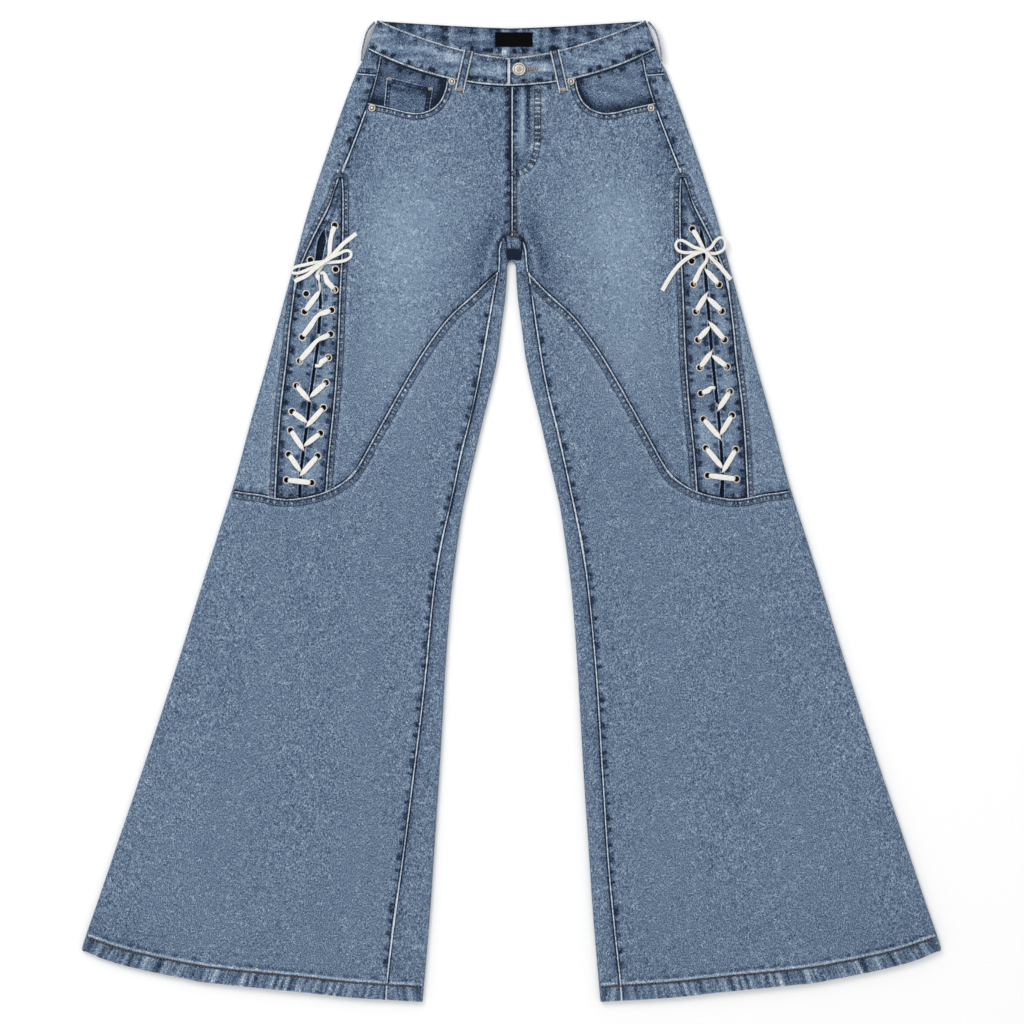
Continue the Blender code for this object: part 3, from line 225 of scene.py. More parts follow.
LACING = {
    -1: (("front", 10), ("by", (203, 292)), ("turn", (214.9, 266.5)), ("front", 8), ("by", (195.2, 236)),
         ("by", (195, 222)), ("by", (197, 196)), ("front", 5), ("turn", (219.6, 162.5)), ("front", 4),
         ("slit", 127.7), ("back", 3), ("slit", 99.2), ("front", 2), ("slit", 72.9), ("back", 1),
         ("slit", 44.3), ("front", 0), ("back", 0), ("slit", 39.7), ("front", 1), ("slit", 68.3), ("back", 2),
         ("slit", 94.6), ("front", 3), ("slit", 123.1), ("back", 4), ("back", 5),
         ("dent", (216.5, 191.6)), ("front", 6), ("back", 6), ("dent", (215.9, 219.6)), ("front", 7),
         ("back", 7), ("slit", 246.5), ("slit", 257.5)),
    1: (("front", 9), ("slit", 270.6), ("back", 7), ("slit", 243.8), ("front", 6), ("slit", 211.2),
        ("back", 5), ("slit", 178.7), ("front", 4), ("turn", (227.9, 138)), ("front", 3), ("back", 2),
        ("slit", 85.5), ("front", 1), ("slit", 48.2), ("back", 0), ("front", 0), ("slit", 43.6), ("back", 1),
        ("slit", 80.9), ("front", 2), ("slit", 113.1), ("back", 3), ("back", 4), ("slit", 174.1),
        ("front", 5), ("slit", 206.6), ("back", 6), ("slit", 239.2), ("front", 7))}

# Middle of the fly's stitched band, from the waistband round to the centre.
FLY_BAND = records(Point, (29.3, 474), (29.3, 440), (29.2, 418), (27.6, 402), (22, 388), (13, 380), (5, 378))

# Faded and darkened patches of the cloth, on the half x > 0 of both legs; the darkened ones round the crotch
# are painted shade of the soft fold that runs down from it.
FADES_AND_SHADE = records(Fade,
    (118, 318, 58, 62, 0.12), (130, 225, 50, 90, 0.10), (95, 385, 50, 46, 0.02), (128, 140, 40, 60, 0.02),
    (6, 300, 16, 50, -0.08), (18, 335, 12, 26, -0.03), (28, 306, 13, 26, -0.06), (38, 280, 13, 26, -0.08),
    (50, 250, 14, 26, -0.04), (24, 430, 14, 46, -0.04), (178, 330, 20, 100, -0.06), (180, 430, 24, 60, -0.05),
    (250, 20, 30, 14, -0.05), (120, -560, 60, 60, -0.03), (470, -500, 90, 60, -0.05))
# Soft troughs and ridges laid into the cloth, on the half x > 0 of both legs.
CREASES = records(Crease,
    (16, 300, 34, 255, 5, 0.55), (26, 330, 60, 262, 12, -0.5), (20, 345, 95, 318, 14, 0.45),
    (30, 372, 110, 372, 16, -0.3), (60, 300, 120, 262, 16, 0.35), (205, 392, 226, 330, 10, 0.35),
    (262, 150, 290, 60, 12, 0.4), (150, 160, 205, 120, 16, -0.3), (110, 60, 85, -60, 10, 0.45),
    (120, -80, 140, -240, 20, -0.4), (250, -20, 215, -160, 30, 0.4), (300, -60, 330, -260, 34, -0.35),
    (210, -220, 240, -420, 34, 0.4), (400, -330, 370, -480, 26, 0.35), (150, -330, 160, -500, 18, 0.35))


class Slot(enum.Enum):
    """The material slots of the pieces."""

    DENIM = "denim"
    SHADED = "denim_shaded"
    LACE = "lace_tape"
    METAL = "ivory_metal"
    LABEL = "label_black"


# ---------------------------------------------------------------- curves


def smoothstep(low: float, high: float, value: Array | float) -> Array:
    """A soft step of the value, from 0 at low to 1 at high."""
    t = np.clip((np.asarray(value, float) - low) / (high - low), 0.0, 1.0)
    return t * t * (3 - 2 * t)


def hump(value: Array, centre: float | Array, reach: float) -> Array:
    """A round hump of height 1 over the centre."""
    return np.exp(-((value - centre) / reach) ** 2)


def unit(vectors: Array) -> Array:
    """Vectors made one long."""
    return vectors / np.maximum(np.linalg.norm(vectors, axis=-1, keepdims=True), 1e-9)


def square(heading: Array) -> Array:
    """Plan directions turned a quarter to the left."""
    return np.stack([-heading[..., 1], heading[..., 0]], axis=-1)


def run_lengths(points: Array) -> Array:
    """How far along a line each of its points lies."""
    return np.concatenate([[0], np.cumsum(np.linalg.norm(np.diff(points, axis=0), axis=1))])


def hermite(a: Array, b: Array, lead: Array, tail: Array, t: Array | float) -> Array:
    """Points at shares t of a smooth run that leaves a along lead and reaches b along tail."""
    return ((2 * t ** 3 - 3 * t ** 2 + 1) * a + (t ** 3 - 2 * t ** 2 + t) * lead
            + (3 * t ** 2 - 2 * t ** 3) * b + (t ** 3 - t ** 2) * tail)


class Curve:
    """A smooth curve through plan points, read by its length or by y."""

    STEPS = 16

    def __init__(self, points: Iterable[Sequence[float]]) -> None:
        """Args:
            points: Plan points that it passes.
        """
        knots = np.array([tuple(p)[:2] for p in points], float)
        padded = np.vstack([2 * knots[0] - knots[1], knots, 2 * knots[-1] - knots[-2]])
        fine = [knots[0]]
        for i in range(len(knots) - 1):
            a, b, c, d = padded[i:i + 4]
            for t in np.linspace(0, 1, self.STEPS + 1)[1:]:
                fine.append(0.5 * (2 * b + (c - a) * t + (2 * a - 5 * b + 4 * c - d) * t * t
                                   + (3 * b - a - 3 * c + d) * t ** 3))
        self.dense = np.array(fine)
        self.along = run_lengths(self.dense)
        self.length = float(self.along[-1])

    def at(self, distance: Array | float) -> Array:
        """The plan point at a distance along it, or one row for each of several."""
        return np.stack([np.interp(distance, self.along, self.dense[:, k]) for k in (0, 1)], axis=-1)

    def x_at(self, y: Array | float) -> Array:
        """The x where a curve that runs down the garment passes a height."""
        return np.interp(-np.asarray(y, float), -self.dense[:, 1], self.dense[:, 0])

    def point_at(self, y: float) -> Array:
        """Its plan point at a height."""
        return np.array([float(self.x_at(y)), y])

    def distance_at(self, y: float) -> float:
        """Its length down to a height."""
        return float(np.interp(-y, -self.dense[:, 1], self.along))

    def distance_out(self, x: float) -> float:
        """Its length to an x, where it runs towards the centre."""
        return float(np.interp(-x, -self.dense[:, 0], self.along))

    def direction(self, distance: Array | float) -> Array:
        """Its unit direction at each distance along."""
        return unit(self.at(np.minimum(distance + 1, self.length)) - self.at(np.maximum(distance - 1, 0)))

    def spread(self, start: float, end: float, count: int) -> list[Array]:
        """Points at a count of even steps between two distances along."""
        return [self.at(d) for d in np.linspace(start, end, count + 1)]


class Line:
    """A smooth line through panel corners and nodes, read by node number; corners stay sharp."""

    CORNER = 0.82

    def __init__(self, nodes: Iterable[Sequence[float]]) -> None:
        """Args:
            nodes: Plan points in order.
        """
        self.nodes = np.array([tuple(p)[:2] for p in nodes], float)
        self.count = len(self.nodes) - 1
        runs = np.diff(self.nodes, axis=0)
        self.sizes = np.linalg.norm(runs, axis=1)[:, None]
        heads = unit(runs)
        self.leave, self.arrive = heads.copy(), heads.copy()
        for i in range(1, self.count):
            if heads[i - 1].dot(heads[i]) > self.CORNER:
                self.leave[i] = self.arrive[i - 1] = unit(heads[i - 1] + heads[i])

    def at(self, places: Array) -> Array:
        """Args:
            places: Node numbers, whole or not.
        Returns:
            A plan point for each.
        """
        places = np.asarray(places, float)
        i = np.clip(np.floor(places).astype(int), 0, self.count - 1)
        lead, tail = self.leave[i] * self.sizes[i], self.arrive[i] * self.sizes[i]
        return hermite(self.nodes[i], self.nodes[i + 1], lead, tail, (places - i)[:, None])


EDGE_MARKS = (1, 2, 3.5, 5, 6.5, 7.7, 8.6, 9.6, 11)


def marks(splits: Sequence[int], first: float = 0.0, last: float = 0.0) -> Array:
    """Fine grid marks over coarse cells.

    Args:
        splits: How many fine cells each coarse one takes.
        first: Share of the first coarse cell that a millimetre takes, for fine cells at that end.
        last: The same at the last one.
    Returns:
        The marks, in coarse cell numbers.
    """
    total = len(splits)
    values = [i + k / n for i, n in enumerate(splits) for k in range(n)] + [float(total)]
    values += [k * first for k in EDGE_MARKS if first] + [total - k * last for k in EDGE_MARKS if last]
    kept: list[float] = []
    for value in sorted(values):
        if not kept or value - kept[-1] >= 0.004 + 0.3 * max(first, last):
            kept.append(value)
        elif float(value).is_integer():
            kept[-1] = value
    return np.array(kept)


def coons(left: Sequence, right: Sequence, top: Sequence, bottom: Sequence, vs: Array, us: Array) -> Array:
    """Plan points of a panel from the nodes of its four sides, whose corners agree.

    Args:
        left: Side at the first column.
        right: Side at the last column.
        top: Side at the first row.
        bottom: Side at the last row.
        vs: Row marks.
        us: Column marks.
    Returns:
        Points as rows x columns x 2.
    """
    left, right, top, bottom = Line(left), Line(right), Line(top), Line(bottom)
    v, u = (vs / left.count)[:, None, None], (us / top.count)[None, :, None]
    across = (1 - u) * left.at(vs)[:, None] + u * right.at(vs)[:, None]
    down = (1 - v) * top.at(us)[None] + v * bottom.at(us)[None]
    corners = ((1 - u) * (1 - v) * left.nodes[0] + u * (1 - v) * right.nodes[0]
               + (1 - u) * v * left.nodes[-1] + u * v * right.nodes[-1])
    return across + down - corners


OUTER, INNER, KNEE, HEM_CURVE, SIDE = (Curve(t) for t in (OUTER_EDGE, INNER_EDGE, KNEE_SEAM, HEM, SIDE_SEAM))
INSEAMS = {side: Curve(table) for side, table in INSEAM.items()}
INSEAM_START = {side: curve.distance_at(KNEE_INSEAM_Y) for side, curve in INSEAMS.items()}
OUTER_KNEE = OUTER.distance_at(KNEE_SEAM[0].y)
HEM_MARKS = (HEM_DEPTH + 1.2, HEM_DEPTH, 0.0)
LEG_ROWS = 8
HIP_COLUMNS = 12
SEAT_COLUMNS = 12
GORE_ROWS = 11
FORK_ROWS = 4
LINE_STEP = 2.0


def dense(points: Sequence[Sequence[float]]) -> Array:
    """The smooth curve through table points as a fine polyline."""
    curve = Curve(points)
    return curve.at(np.linspace(0, curve.length, max(int(curve.length / LINE_STEP), 2)))


def swell(x: Array | float, y: Array | float) -> Array:
    """How far the front of a leg lifts off its back in the middle.

    Args:
        x: Half widths.
        y: Heights on the garment.
    Returns:
        The lift at each point.
    """
    low, high = INNER.x_at(y), OUTER.x_at(y)
    share = np.clip((np.abs(x) - low) / (high - low), 0.0, 1.0)
    return LEG_SWELL * 16 * (share * (1 - share)) ** 2 * (1 - smoothstep(150, 240, y))


def crease_height(x: Array, y: Array, side: int) -> Array:
    """Height of the listed creases.

    Args:
        x: Half widths.
        y: Heights on the garment.
        side: Which leg; the two differ a little.
    Returns:
        The lift at each point.
    """
    lift = np.zeros_like(np.asarray(x, float))
    for k, crease in enumerate(CREASES):
        shift = 3.0 * math.sin(2.1 * k + 1.3 * side)
        a = np.array([crease.x0 + shift, crease.y0 - 2 * shift])
        run = np.array([crease.x1 - crease.x0, crease.y1 - crease.y0 + shift])
        t = ((x - a[0]) * run[0] + (y - a[1]) * run[1]) / run.dot(run)
        held = np.clip(t, 0, 1)
        off = np.hypot(x - a[0] - held * run[0], y - a[1] - held * run[1])
        lift += crease.height * np.sin(math.pi * np.clip(t, 0.02, 0.98)) ** 0.6 * hump(off, 0, crease.width)
    return lift


def tone_at(x: Array, y: Array) -> Array:
    """How much lighter or darker the cloth is at each point: its faded patches, and darker ones, those round
    the crotch painted shade.
    """
    return sum(f.amount * np.exp(-((x - f.x) / f.reach_x) ** 2 - ((y - f.y) / f.reach_y) ** 2) for f in FADES_AND_SHADE)


# ---------------------------------------------------------------- seam tracks


@dataclass
class Track:
    """A seam beside a panel: what its sewing does to the cloth next to it, with the painted shade beside its
    edge.
    """

    points: Array
    width: float = 0.0
    edge: float = 1.0
    pucker: float = 0.5
    rise: float = 0.0

    def measure(self, plan: Array) -> tuple[Array, Array]:
        """Args:
            plan: Plan points, n x 2.
        Returns:
            Distance from the track and distance along it, for each point.
        """
        starts, ends = self.points[:-1], self.points[1:]
        runs = ends - starts
        sizes = np.maximum((runs ** 2).sum(axis=1), 1e-9)
        along = np.concatenate([[0], np.cumsum(np.sqrt(sizes))])[:-1]
        best, where = np.full(len(plan), 1e9), np.zeros(len(plan))
        for start, run, size, base in zip(starts, runs, sizes, along):
            t = np.clip(((plan - start) @ run) / size, 0, 1)
            off = np.linalg.norm(plan - start - t[:, None] * run, axis=1)
            nearer = off < best
            best[nearer] = off[nearer]
            where[nearer] = base + t[nearer] * math.sqrt(size)
        return best, where


FAR = 60.0


@dataclass
class SeamField:
    """Seam data of each grid node, which the cloth's material reads from UV maps."""

    away: Array
    along: Array
    width: Array
    edge: Array
    pucker: Array
    rise: Array

    @classmethod
    def of(cls, plan: Array, tracks: Sequence[Track]) -> SeamField:
        """Args:
            plan: Plan points, n x 2.
            tracks: The seams round the panel.
        Returns:
            The data of the nearest seam at each point.
        """
        made = cls(np.full(len(plan), FAR), *(np.zeros(len(plan)) for _ in range(5)))
        for track in tracks:
            away, along = track.measure(plan)
            near = away - track.width < made.away - made.width
            made.away[near], made.along[near] = away[near], along[near]
            for name in ("width", "edge", "pucker", "rise"):
                getattr(made, name)[near] = getattr(track, name)
        return made

    def take(self, other: SeamField, where: Array) -> None:
        """Takes another field's values at some of the nodes."""
        for name, mine in vars(self).items():
            mine[where] = getattr(other, name)[where]

    def relief(self) -> Array:
        """How far the sewn layers lift the surface at each node."""
        inside = smoothstep(0.0, 1.2, self.away) * (1 - smoothstep(-0.6, 0.9, self.away - self.width))
        return self.rise * inside


# ---------------------------------------------------------------- cloth pieces


@dataclass
class Grid:
    """Rows and columns of cloth nodes, each an inner and an outer point; NaN where there is none."""

    nodes: Array
    front: Array

    @classmethod
    def joined(cls, *parts: tuple[Array, bool]) -> Grid:
        """One grid of blocks with the same rows, each with whether it is on the front layer."""
        return cls(np.concatenate([block for block, _ in parts], axis=1),
                   np.concatenate([np.full(block.shape[:2], flag) for block, flag in parts], axis=1))


def layer(plan: Array, low: Array | float, high: Array | float) -> Array:
    """Args:
        plan: Plan points, rows x columns x 2.
        low: Height of the inner face.
        high: Height of the outer face.
    Returns:
        Nodes of a flat layer.
    """
    nodes = np.empty((*plan.shape[:2], 2, 3))
    nodes[..., :2] = plan[:, :, None]
    nodes[:, :, 0, 2], nodes[:, :, 1, 2] = low, high
    return nodes


def front_layer(plan: Array, extra: Array | float = 0.0) -> Array:
    """Nodes of the layer on top, with extra thickness as at a hem."""
    lift = swell(plan[..., 0], plan[..., 1])
    return layer(plan, FRONT_IN + lift, FRONT_OUT + lift + extra)


def back_layer(plan: Array, extra: Array | float = 0.0) -> Array:
    """Nodes of the layer underneath, inner face first, with extra thickness as at a hem."""
    return layer(plan, CLOTH + extra, 0.0)


FOLD_DOWN = np.array([67.5, 45.0, 22.5, 0.0, -22.5, -45.0, -67.5])


def fold_block(centres: Array, normals: Array, angles: Array, wall: float = CLOTH,
               extra: Array | float = 0.0) -> Array:
    """Nodes round a fold; 90 degrees is on the front layer and -90 on the back one.

    Args:
        centres: Plan points of the fold's axis, one for each row.
        normals: Outward plan directions, one for each row.
        angles: Angles round the fold in degrees, one for each column.
        wall: Thickness of the cloth.
        extra: More thickness for each row.
    Returns:
        Nodes as rows x columns.
    """
    turn = np.radians(angles)
    nodes = np.empty((len(centres), len(angles), 2, 3))
    for k, radius in enumerate((FOLD_OUT - wall - extra, FOLD_OUT)):
        radius = np.broadcast_to(radius, (len(centres),))[:, None]
        nodes[:, :, k, :2] = centres[:, None] + normals[:, None] * (radius * np.cos(turn))[..., None]
        nodes[:, :, k, 2] = FOLD_OUT + radius * np.sin(turn)
    return nodes


def outer_fold(distance: Array | float) -> tuple[Array, Array]:
    """Centres and outward directions of the outer fold, at distances down the outer edge."""
    normal = square(OUTER.direction(distance))
    return OUTER.at(distance) - normal * FOLD_OUT, normal


def inner_fold(distance: Array | float) -> tuple[Array, Array]:
    """Args:
        distance: Distances down the inner edge.
    Returns:
        Centres and directions, towards the other leg, of the inner fold.
    """
    distance = np.asarray(distance, float)
    normal = np.where((distance < 1e-6)[..., None], np.array([0.0, -1.0]), -square(INNER.direction(distance)))
    return INNER.at(distance) - normal * FOLD_OUT, normal


def stretch(table: Sequence[float], vs: Array) -> Array:
    """The values between a table's coarse rows, at row marks."""
    return np.interp(vs, np.arange(len(table)), table)


def strip_between(start: Array, end: Array, shares: Array) -> Array:
    """Plan points whose columns lie at shares of the way from one line to another."""
    return start[:, None] + (end - start)[:, None] * shares[None, :, None]


def leg_distances(start: float, end: float) -> Array:
    """The coarse rows of a lower leg along one of its long edges, with the hem's step."""
    return np.append(np.linspace(start, end - HEM_MARKS[0], LEG_ROWS), end - np.array(HEM_MARKS[1:]))


def side_seam_points() -> list[Array]:
    """Side seam nodes from the yoke seam down to the top of the gore."""
    return [SIDE.point_at(y) for y in (YOKE_SIDE_Y, 457.0, 428.0, 402.0, GORE_APEX_Y)]


def gore_points(table: Sequence[Point]) -> list[Array]:
    """The nodes of one long seam of the gore."""
    curve = Curve(table)
    return [curve.point_at(y) for y in np.linspace(table[0].y, table[-1].y, GORE_ROWS + 1)]


def slit_at(side: int, y: Array | float, what: str = "x") -> Array:
    """The middle of a gore's slit, or its width, at heights on the garment."""
    return np.interp(-np.asarray(y, float), [-r.y for r in SLIT[side]], [getattr(r, what) for r in SLIT[side]])


def knee_table(side: int) -> list[Point]:
    """The curved seam's points, with the one where it meets the inseam."""
    return KNEE_SEAM + [Point(*INSEAMS[side].point_at(KNEE_INSEAM_Y))]


def knee_points(side: int) -> list[Array]:
    """Args:
        side: Which leg.
    Returns:
        Nodes of the curved seam: outer fold, gore back, slit, gore front, then to the inseam.
    """
    curve = Curve(knee_table(side))
    stops = [0.0, *(curve.distance_out(p.x) for p in (GORE_BACK[-1], SLIT[side][-1], GORE_FRONT[-1]))]
    points: list[Array] = []
    for start, end, count in zip(stops, stops[1:], (3, 2, 2)):
        points += curve.spread(start, end, count)[:-1]
    return points + curve.spread(stops[-1], curve.length, HIP_COLUMNS)


def fork_distances() -> Array:
    """Inner fold distances from the fork to the curved seam."""
    return np.linspace(0, INNER.distance_at(KNEE_INSEAM_Y), FORK_ROWS + 1)


def fork_inseam(side: int) -> list[Array]:
    """Inseam nodes from the fork to the curved seam."""
    return INSEAMS[side].spread(0, INSEAM_START[side], FORK_ROWS)


def back_knee_points() -> list[Array]:
    """Nodes of the curved seam under the leg, from the outer fold to the inner one."""
    curve = Curve([outer_fold(OUTER_KNEE)[0], *KNEE_SEAM[1:], inner_fold(fork_distances()[-1])[0]])
    return curve.spread(0, curve.length, SEAT_COLUMNS)


def band_bottom(x: Array | float) -> Array:
    """Heights of the waistband's seam on the front, at half widths."""
    share = np.minimum(np.abs(x) / 162.4, 1.0)
    return CENTRE_BAND_BOTTOM + 4.5 * share + 37.5 * share ** 2.1


def band_top(x: Array | float) -> Array:
    """Heights of the waistband's top edge on the front, at half widths."""
    return CENTRE_BAND_TOP + 42.4 * np.minimum(np.abs(x) / 150.1, 1.0) ** 1.55


def yoke_back_top(x: Array | float) -> Array:
    """Heights of the waistband's seam on the back, at half widths."""
    return 508.0 + 9.4 * (np.abs(x) / 160.0) ** 1.6


def yoke_back_bottom(x: Array | float) -> Array:
    """Heights of the yoke's lower seam, deepest at the centre, at half widths."""
    return 446.0 + 43.0 * np.minimum(np.abs(x) / 170.0, 1.0)


def under(xs: Array, heights: Callable[[Array], Array]) -> Array:
    """Plan points at half widths, with their heights from a function."""
    return np.stack([xs, heights(xs)], axis=1)


def yoke_seam_points(start: Array) -> Array:
    """Args:
        start: Where the seam meets the outer fold.
    Returns:
        Yoke seam nodes under the hip, from the outer fold to the centre back.
    """
    points = under(np.linspace(start[0], 0, SEAT_COLUMNS + 1), yoke_back_bottom)
    points[:, 1] += (start[1] - points[0, 1]) * np.linspace(1, 0, SEAT_COLUMNS + 1) ** 3
    return points


def hem_points(start: Array, end: Array, count: int) -> list[Array]:
    """Args:
        start: First point, near the hem curve.
        end: Last point, near it too.
        count: Runs between them.
    Returns:
        Hem nodes, both ends kept.
    """
    points = HEM_CURVE.spread(HEM_CURVE.distance_out(start[0]), HEM_CURVE.distance_out(end[0]), count)
    points[0], points[-1] = start, end
    return points


# ---------------------------------------------------------------- meshes


def link(name: str, mesh: bpy.types.Mesh) -> Object:
    """Args:
        name: Name of the new object.
        mesh: Its mesh, in metres in the row's frame.
    Returns:
        The object, in the scene.
    """
    obj = bpy.data.objects.new(name, mesh)
    bpy.context.scene.collection.objects.link(obj)
    return obj


def smooth(obj: Object, degrees: float) -> None:
    """Shades a piece smooth, but for edges sharper than an angle."""
    obj.data.polygons.foreach_set("use_smooth", [True] * len(obj.data.polygons))
    obj.data.set_sharp_from_angle(angle=math.radians(degrees))


def shell(name: str, verts: Array, faces: list[list[int]], maps: dict[str, Array], degrees: float) -> Object:
    """Args:
        name: Name of the piece.
        verts: Its points in millimetres.
        faces: The points of each face.
        maps: The values of each UV map at all face corners.
        degrees: Edges sharper than this stay sharp.
    Returns:
        The piece, its faces outwards.
    """
    mesh = bpy.data.meshes.new(name)
    mesh.from_pydata((verts * MM).tolist(), [], faces)
    for label, values in maps.items():
        uv = mesh.uv_layers.new(name=label)
        uv.data.foreach_set("uv", np.ascontiguousarray(values, np.float32).reshape(-1))
    mesh.update()
    obj = link(name, mesh)
    shape = bmesh.new()
    shape.from_mesh(mesh)
    if shape.calc_volume(signed=True) < 0:
        bmesh.ops.reverse_faces(shape, faces=shape.faces)
        shape.to_mesh(mesh)
    shape.free()
    smooth(obj, degrees)
    return obj


def draw_back(nodes: Array) -> Array:
    """Draws the border of a grid back, so that neighbours don't touch.

    Args:
        nodes: Rows x columns x 2 x 3, NaN where there is none.
    Returns:
        The nodes with the border moved inwards by INSET.
    """
    there = ~np.isnan(nodes[:, :, 0, 0])
    known = np.pad(there, 1)
    middle, moved = nodes.mean(axis=2), nodes.copy()
    for i, j in np.argwhere(there):
        pull = np.zeros(3)
        for di, dj in ((1, 0), (-1, 0), (0, 1), (0, -1)):
            if not known[i + 1 + di, j + 1 + dj] and known[i + 1 - di, j + 1 - dj]:
                pull += unit(middle[i - di, j - dj] - middle[i, j])
        moved[i, j] += pull * INSET
    return moved


@dataclass
class Piece:
    """One cut piece of cloth, ready to be made into a thin closed shell."""

    name: str
    side: int
    grid: Grid
    tracks: list[Track]
    replaces: str
    flat: tuple[float, float]
    slot: Slot = Slot.DENIM
    tone: float = 0.0
    # Tone of the faces that don't show from outside; below 0 it is painted shade of the inside, seen through
    # eyelet holes and slits.
    inner_tone: float = -0.25
    creased: bool = True
    toned: bool = True
    back_tracks: Sequence[Track] = ()
    extra_tone: Callable[[Array, Array], Array] | None = None
    extra_lift: Callable[[Array, Array], Array] | None = None

    def fit(self, material: Material, held: str, *rests_on: str, holes: Sequence[Point] = ()) -> None:
        """Args:
            material: Its finish.
            held: How it lies; not used.
            *rests_on: What it lies on; not used.
            holes: Eyelet holes to be pierced.
        """
        obj = self.make()
        if holes:
            pierce(obj, self.side, holes)
        settle(obj, material, self.slot, self.replaces)

    def make(self) -> Object:
        """Returns:
            The shell, with its seam, band and tone UV maps.
        """
        nodes = self.grid.nodes.copy()
        rows, columns = nodes.shape[:2]
        there = ~np.isnan(nodes[:, :, 0, 0])
        plan = np.nan_to_num(nodes[:, :, 1, :2].reshape(-1, 2))
        x, y = plan.T
        seams = SeamField.of(plan, self.tracks)
        front = (self.grid.front & there).reshape(-1)
        lift = np.zeros(len(plan))
        if self.creased:
            lift = crease_height(x, y, self.side) * smoothstep(0.0, 9.0, seams.away)
        if self.extra_lift is not None:
            lift = lift + self.extra_lift(x, y)
        nodes[..., 2] += np.where(front, lift, 0.0).reshape(rows, columns, 1)
        nodes[:, :, 1, 2] += np.where(front, seams.relief(), 0.0).reshape(rows, columns)
        # Tone from wear and painted shade together: faded patches, the fold's shade and each piece's own
        # painted shade.
        wear_and_shade = tone_at(x, y) if self.toned else np.zeros(len(plan))
        if self.extra_tone is not None:
            wear_and_shade = wear_and_shade + np.where(front | bool(self.back_tracks), self.extra_tone(x, y), 0.0)
        if self.back_tracks:
            seams.take(SeamField.of(plan, self.back_tracks), ~front)
        else:
            seams.away[~front] = np.maximum(seams.away[~front], FAR / 2)
        return self._shell(draw_back(nodes), there, seams, wear_and_shade + self.tone)

    def _shell(self, nodes: Array, there: Array, seams: SeamField, tone: Array) -> Object:
        """Args:
            nodes: Final nodes.
            there: Which of them exist.
            seams: Seam data of each node.
            tone: Tone of each node's outer face.
        Returns:
            The closed shell.
        """
        index = np.full(there.shape, -1)
        index[there] = np.arange(there.sum())
        verts = nodes[there].reshape(-1, 3) * np.array([self.side, 1, 1])
        i, j = np.nonzero(there[:-1, :-1] & there[:-1, 1:] & there[1:, 1:] & there[1:, :-1])
        ring = np.stack([index[i, j], index[i, j + 1], index[i + 1, j + 1], index[i + 1, j]], axis=1)
        edges = np.concatenate([ring[:, [k, (k + 1) % 4]] for k in range(4)])
        codes, back = (edges @ np.array(weights) for weights in ((len(verts) + 1, 1), (1, len(verts) + 1)))
        rim = edges[~np.isin(codes, back)]
        walls = np.stack([rim[:, 0] * 2 + 1, rim[:, 0] * 2, rim[:, 1] * 2, rim[:, 1] * 2 + 1], axis=1)
        if self.side < 0:
            ring, walls = ring[:, ::-1], walls[:, ::-1]
        faces = np.concatenate([ring * 2 + 1, ring[:, ::-1] * 2, walls])
        corners = faces.reshape(-1)
        place = corners // 2
        seen = ((corners % 2 == 1) | (np.arange(len(corners)) >= len(ring) * 8))[:, None]
        pairs = {"seam": (seams.along, seams.away), "band": (seams.width, seams.edge),
                 "tone": (tone, seams.pucker)}
        maps = {name: np.stack(pair, axis=1)[there.reshape(-1)][place] for name, pair in pairs.items()}
        # Faces that don't show from outside take the inner tone, painted shade where it is below 0.
        hidden = maps["tone"] * (0.0, 1.0 if self.back_tracks else 0.0) + (self.inner_tone, 0.0)
        maps["tone"] = np.where(seen, maps["tone"], hidden)
        if not self.back_tracks:
            maps["seam"] = np.where(seen, maps["seam"], np.array([0.0, FAR]))
        return shell(self.name, verts, faces.tolist(), maps, 38)


def clear_selection() -> None:
    """Deselects everything."""
    for other in list(bpy.context.selected_objects):
        other.select_set(False)


def select_only(*parts: Object) -> None:
    """Selects these objects alone, the first of them active."""
    clear_selection()
    for part in parts:
        part.select_set(True)
    bpy.context.view_layer.objects.active = parts[0]


def merged(parts: Sequence[Object]) -> Object:
    """Args:
        parts: Objects.
    Returns:
        All of them as one object at the origin, unturned and unscaled.
    """
    select_only(*parts)
    bpy.ops.object.transform_apply(location=True, rotation=True, scale=True)
    bpy.ops.object.join()
    return bpy.context.active_object


def trim(parts: Sequence[Object], name: str, material: Material, *replaced: str) -> None:
    """Joins metal parts into one settled piece.

    Args:
        parts: Its parts.
        name: Its name.
        material: Its finish.
        *replaced: The CAD nodes that it stands for.
    """
    obj = merged(parts)
    obj.name = name
    smooth(obj, 40)
    settle(obj, material, Slot.METAL, *replaced)


def pierce(obj: Object, side: int, eyelets: Sequence[Point]) -> None:
    """Cuts the eyelet holes.

    Args:
        obj: A strip.
        side: Which leg.
        eyelets: Their centres.
    """
    cutters = []
    for eyelet in eyelets:
        clear_selection()
        bpy.ops.mesh.primitive_cylinder_add(
            vertices=20, radius=EYELET_HOLE_R * MM, depth=8 * MM,
            location=(eyelet.x * side * MM, eyelet.y * MM, FRONT_OUT * MM))
        cutters.append(bpy.context.active_object)
    cutter = merged(cutters)
    cut = obj.modifiers.new("holes", "BOOLEAN")
    cut.operation = "DIFFERENCE"
    cut.solver = "EXACT"
    cut.object = cutter
    select_only(obj)
    bpy.ops.object.modifier_apply(modifier=cut.name)
    bpy.data.objects.remove(cutter, do_unlink=True)
    smooth(obj, 38)


def dress(obj: Object, material: Material) -> None:
    """Gives a piece its finish."""
    obj.data.materials.clear()
    obj.data.materials.append(material)


def settle(obj: Object, material: Material, slot: Slot, *replaced: str) -> None:
    """Args:
        obj: The piece.
        material: Its finish.
        slot: Its material slot; not used.
        *replaced: The CAD nodes that it stands for.
    """
    dress(obj, material)
    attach(obj, "root")
    if replaced:
        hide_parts(*replaced)


# ---------------------------------------------------------------- finishes


def tinted(colour: Colour, *by: float) -> Colour:
    """A colour times a factor for each channel, at most 1."""
    return tuple(min(channel * factor, 1.0) for channel, factor in zip(colour, by))


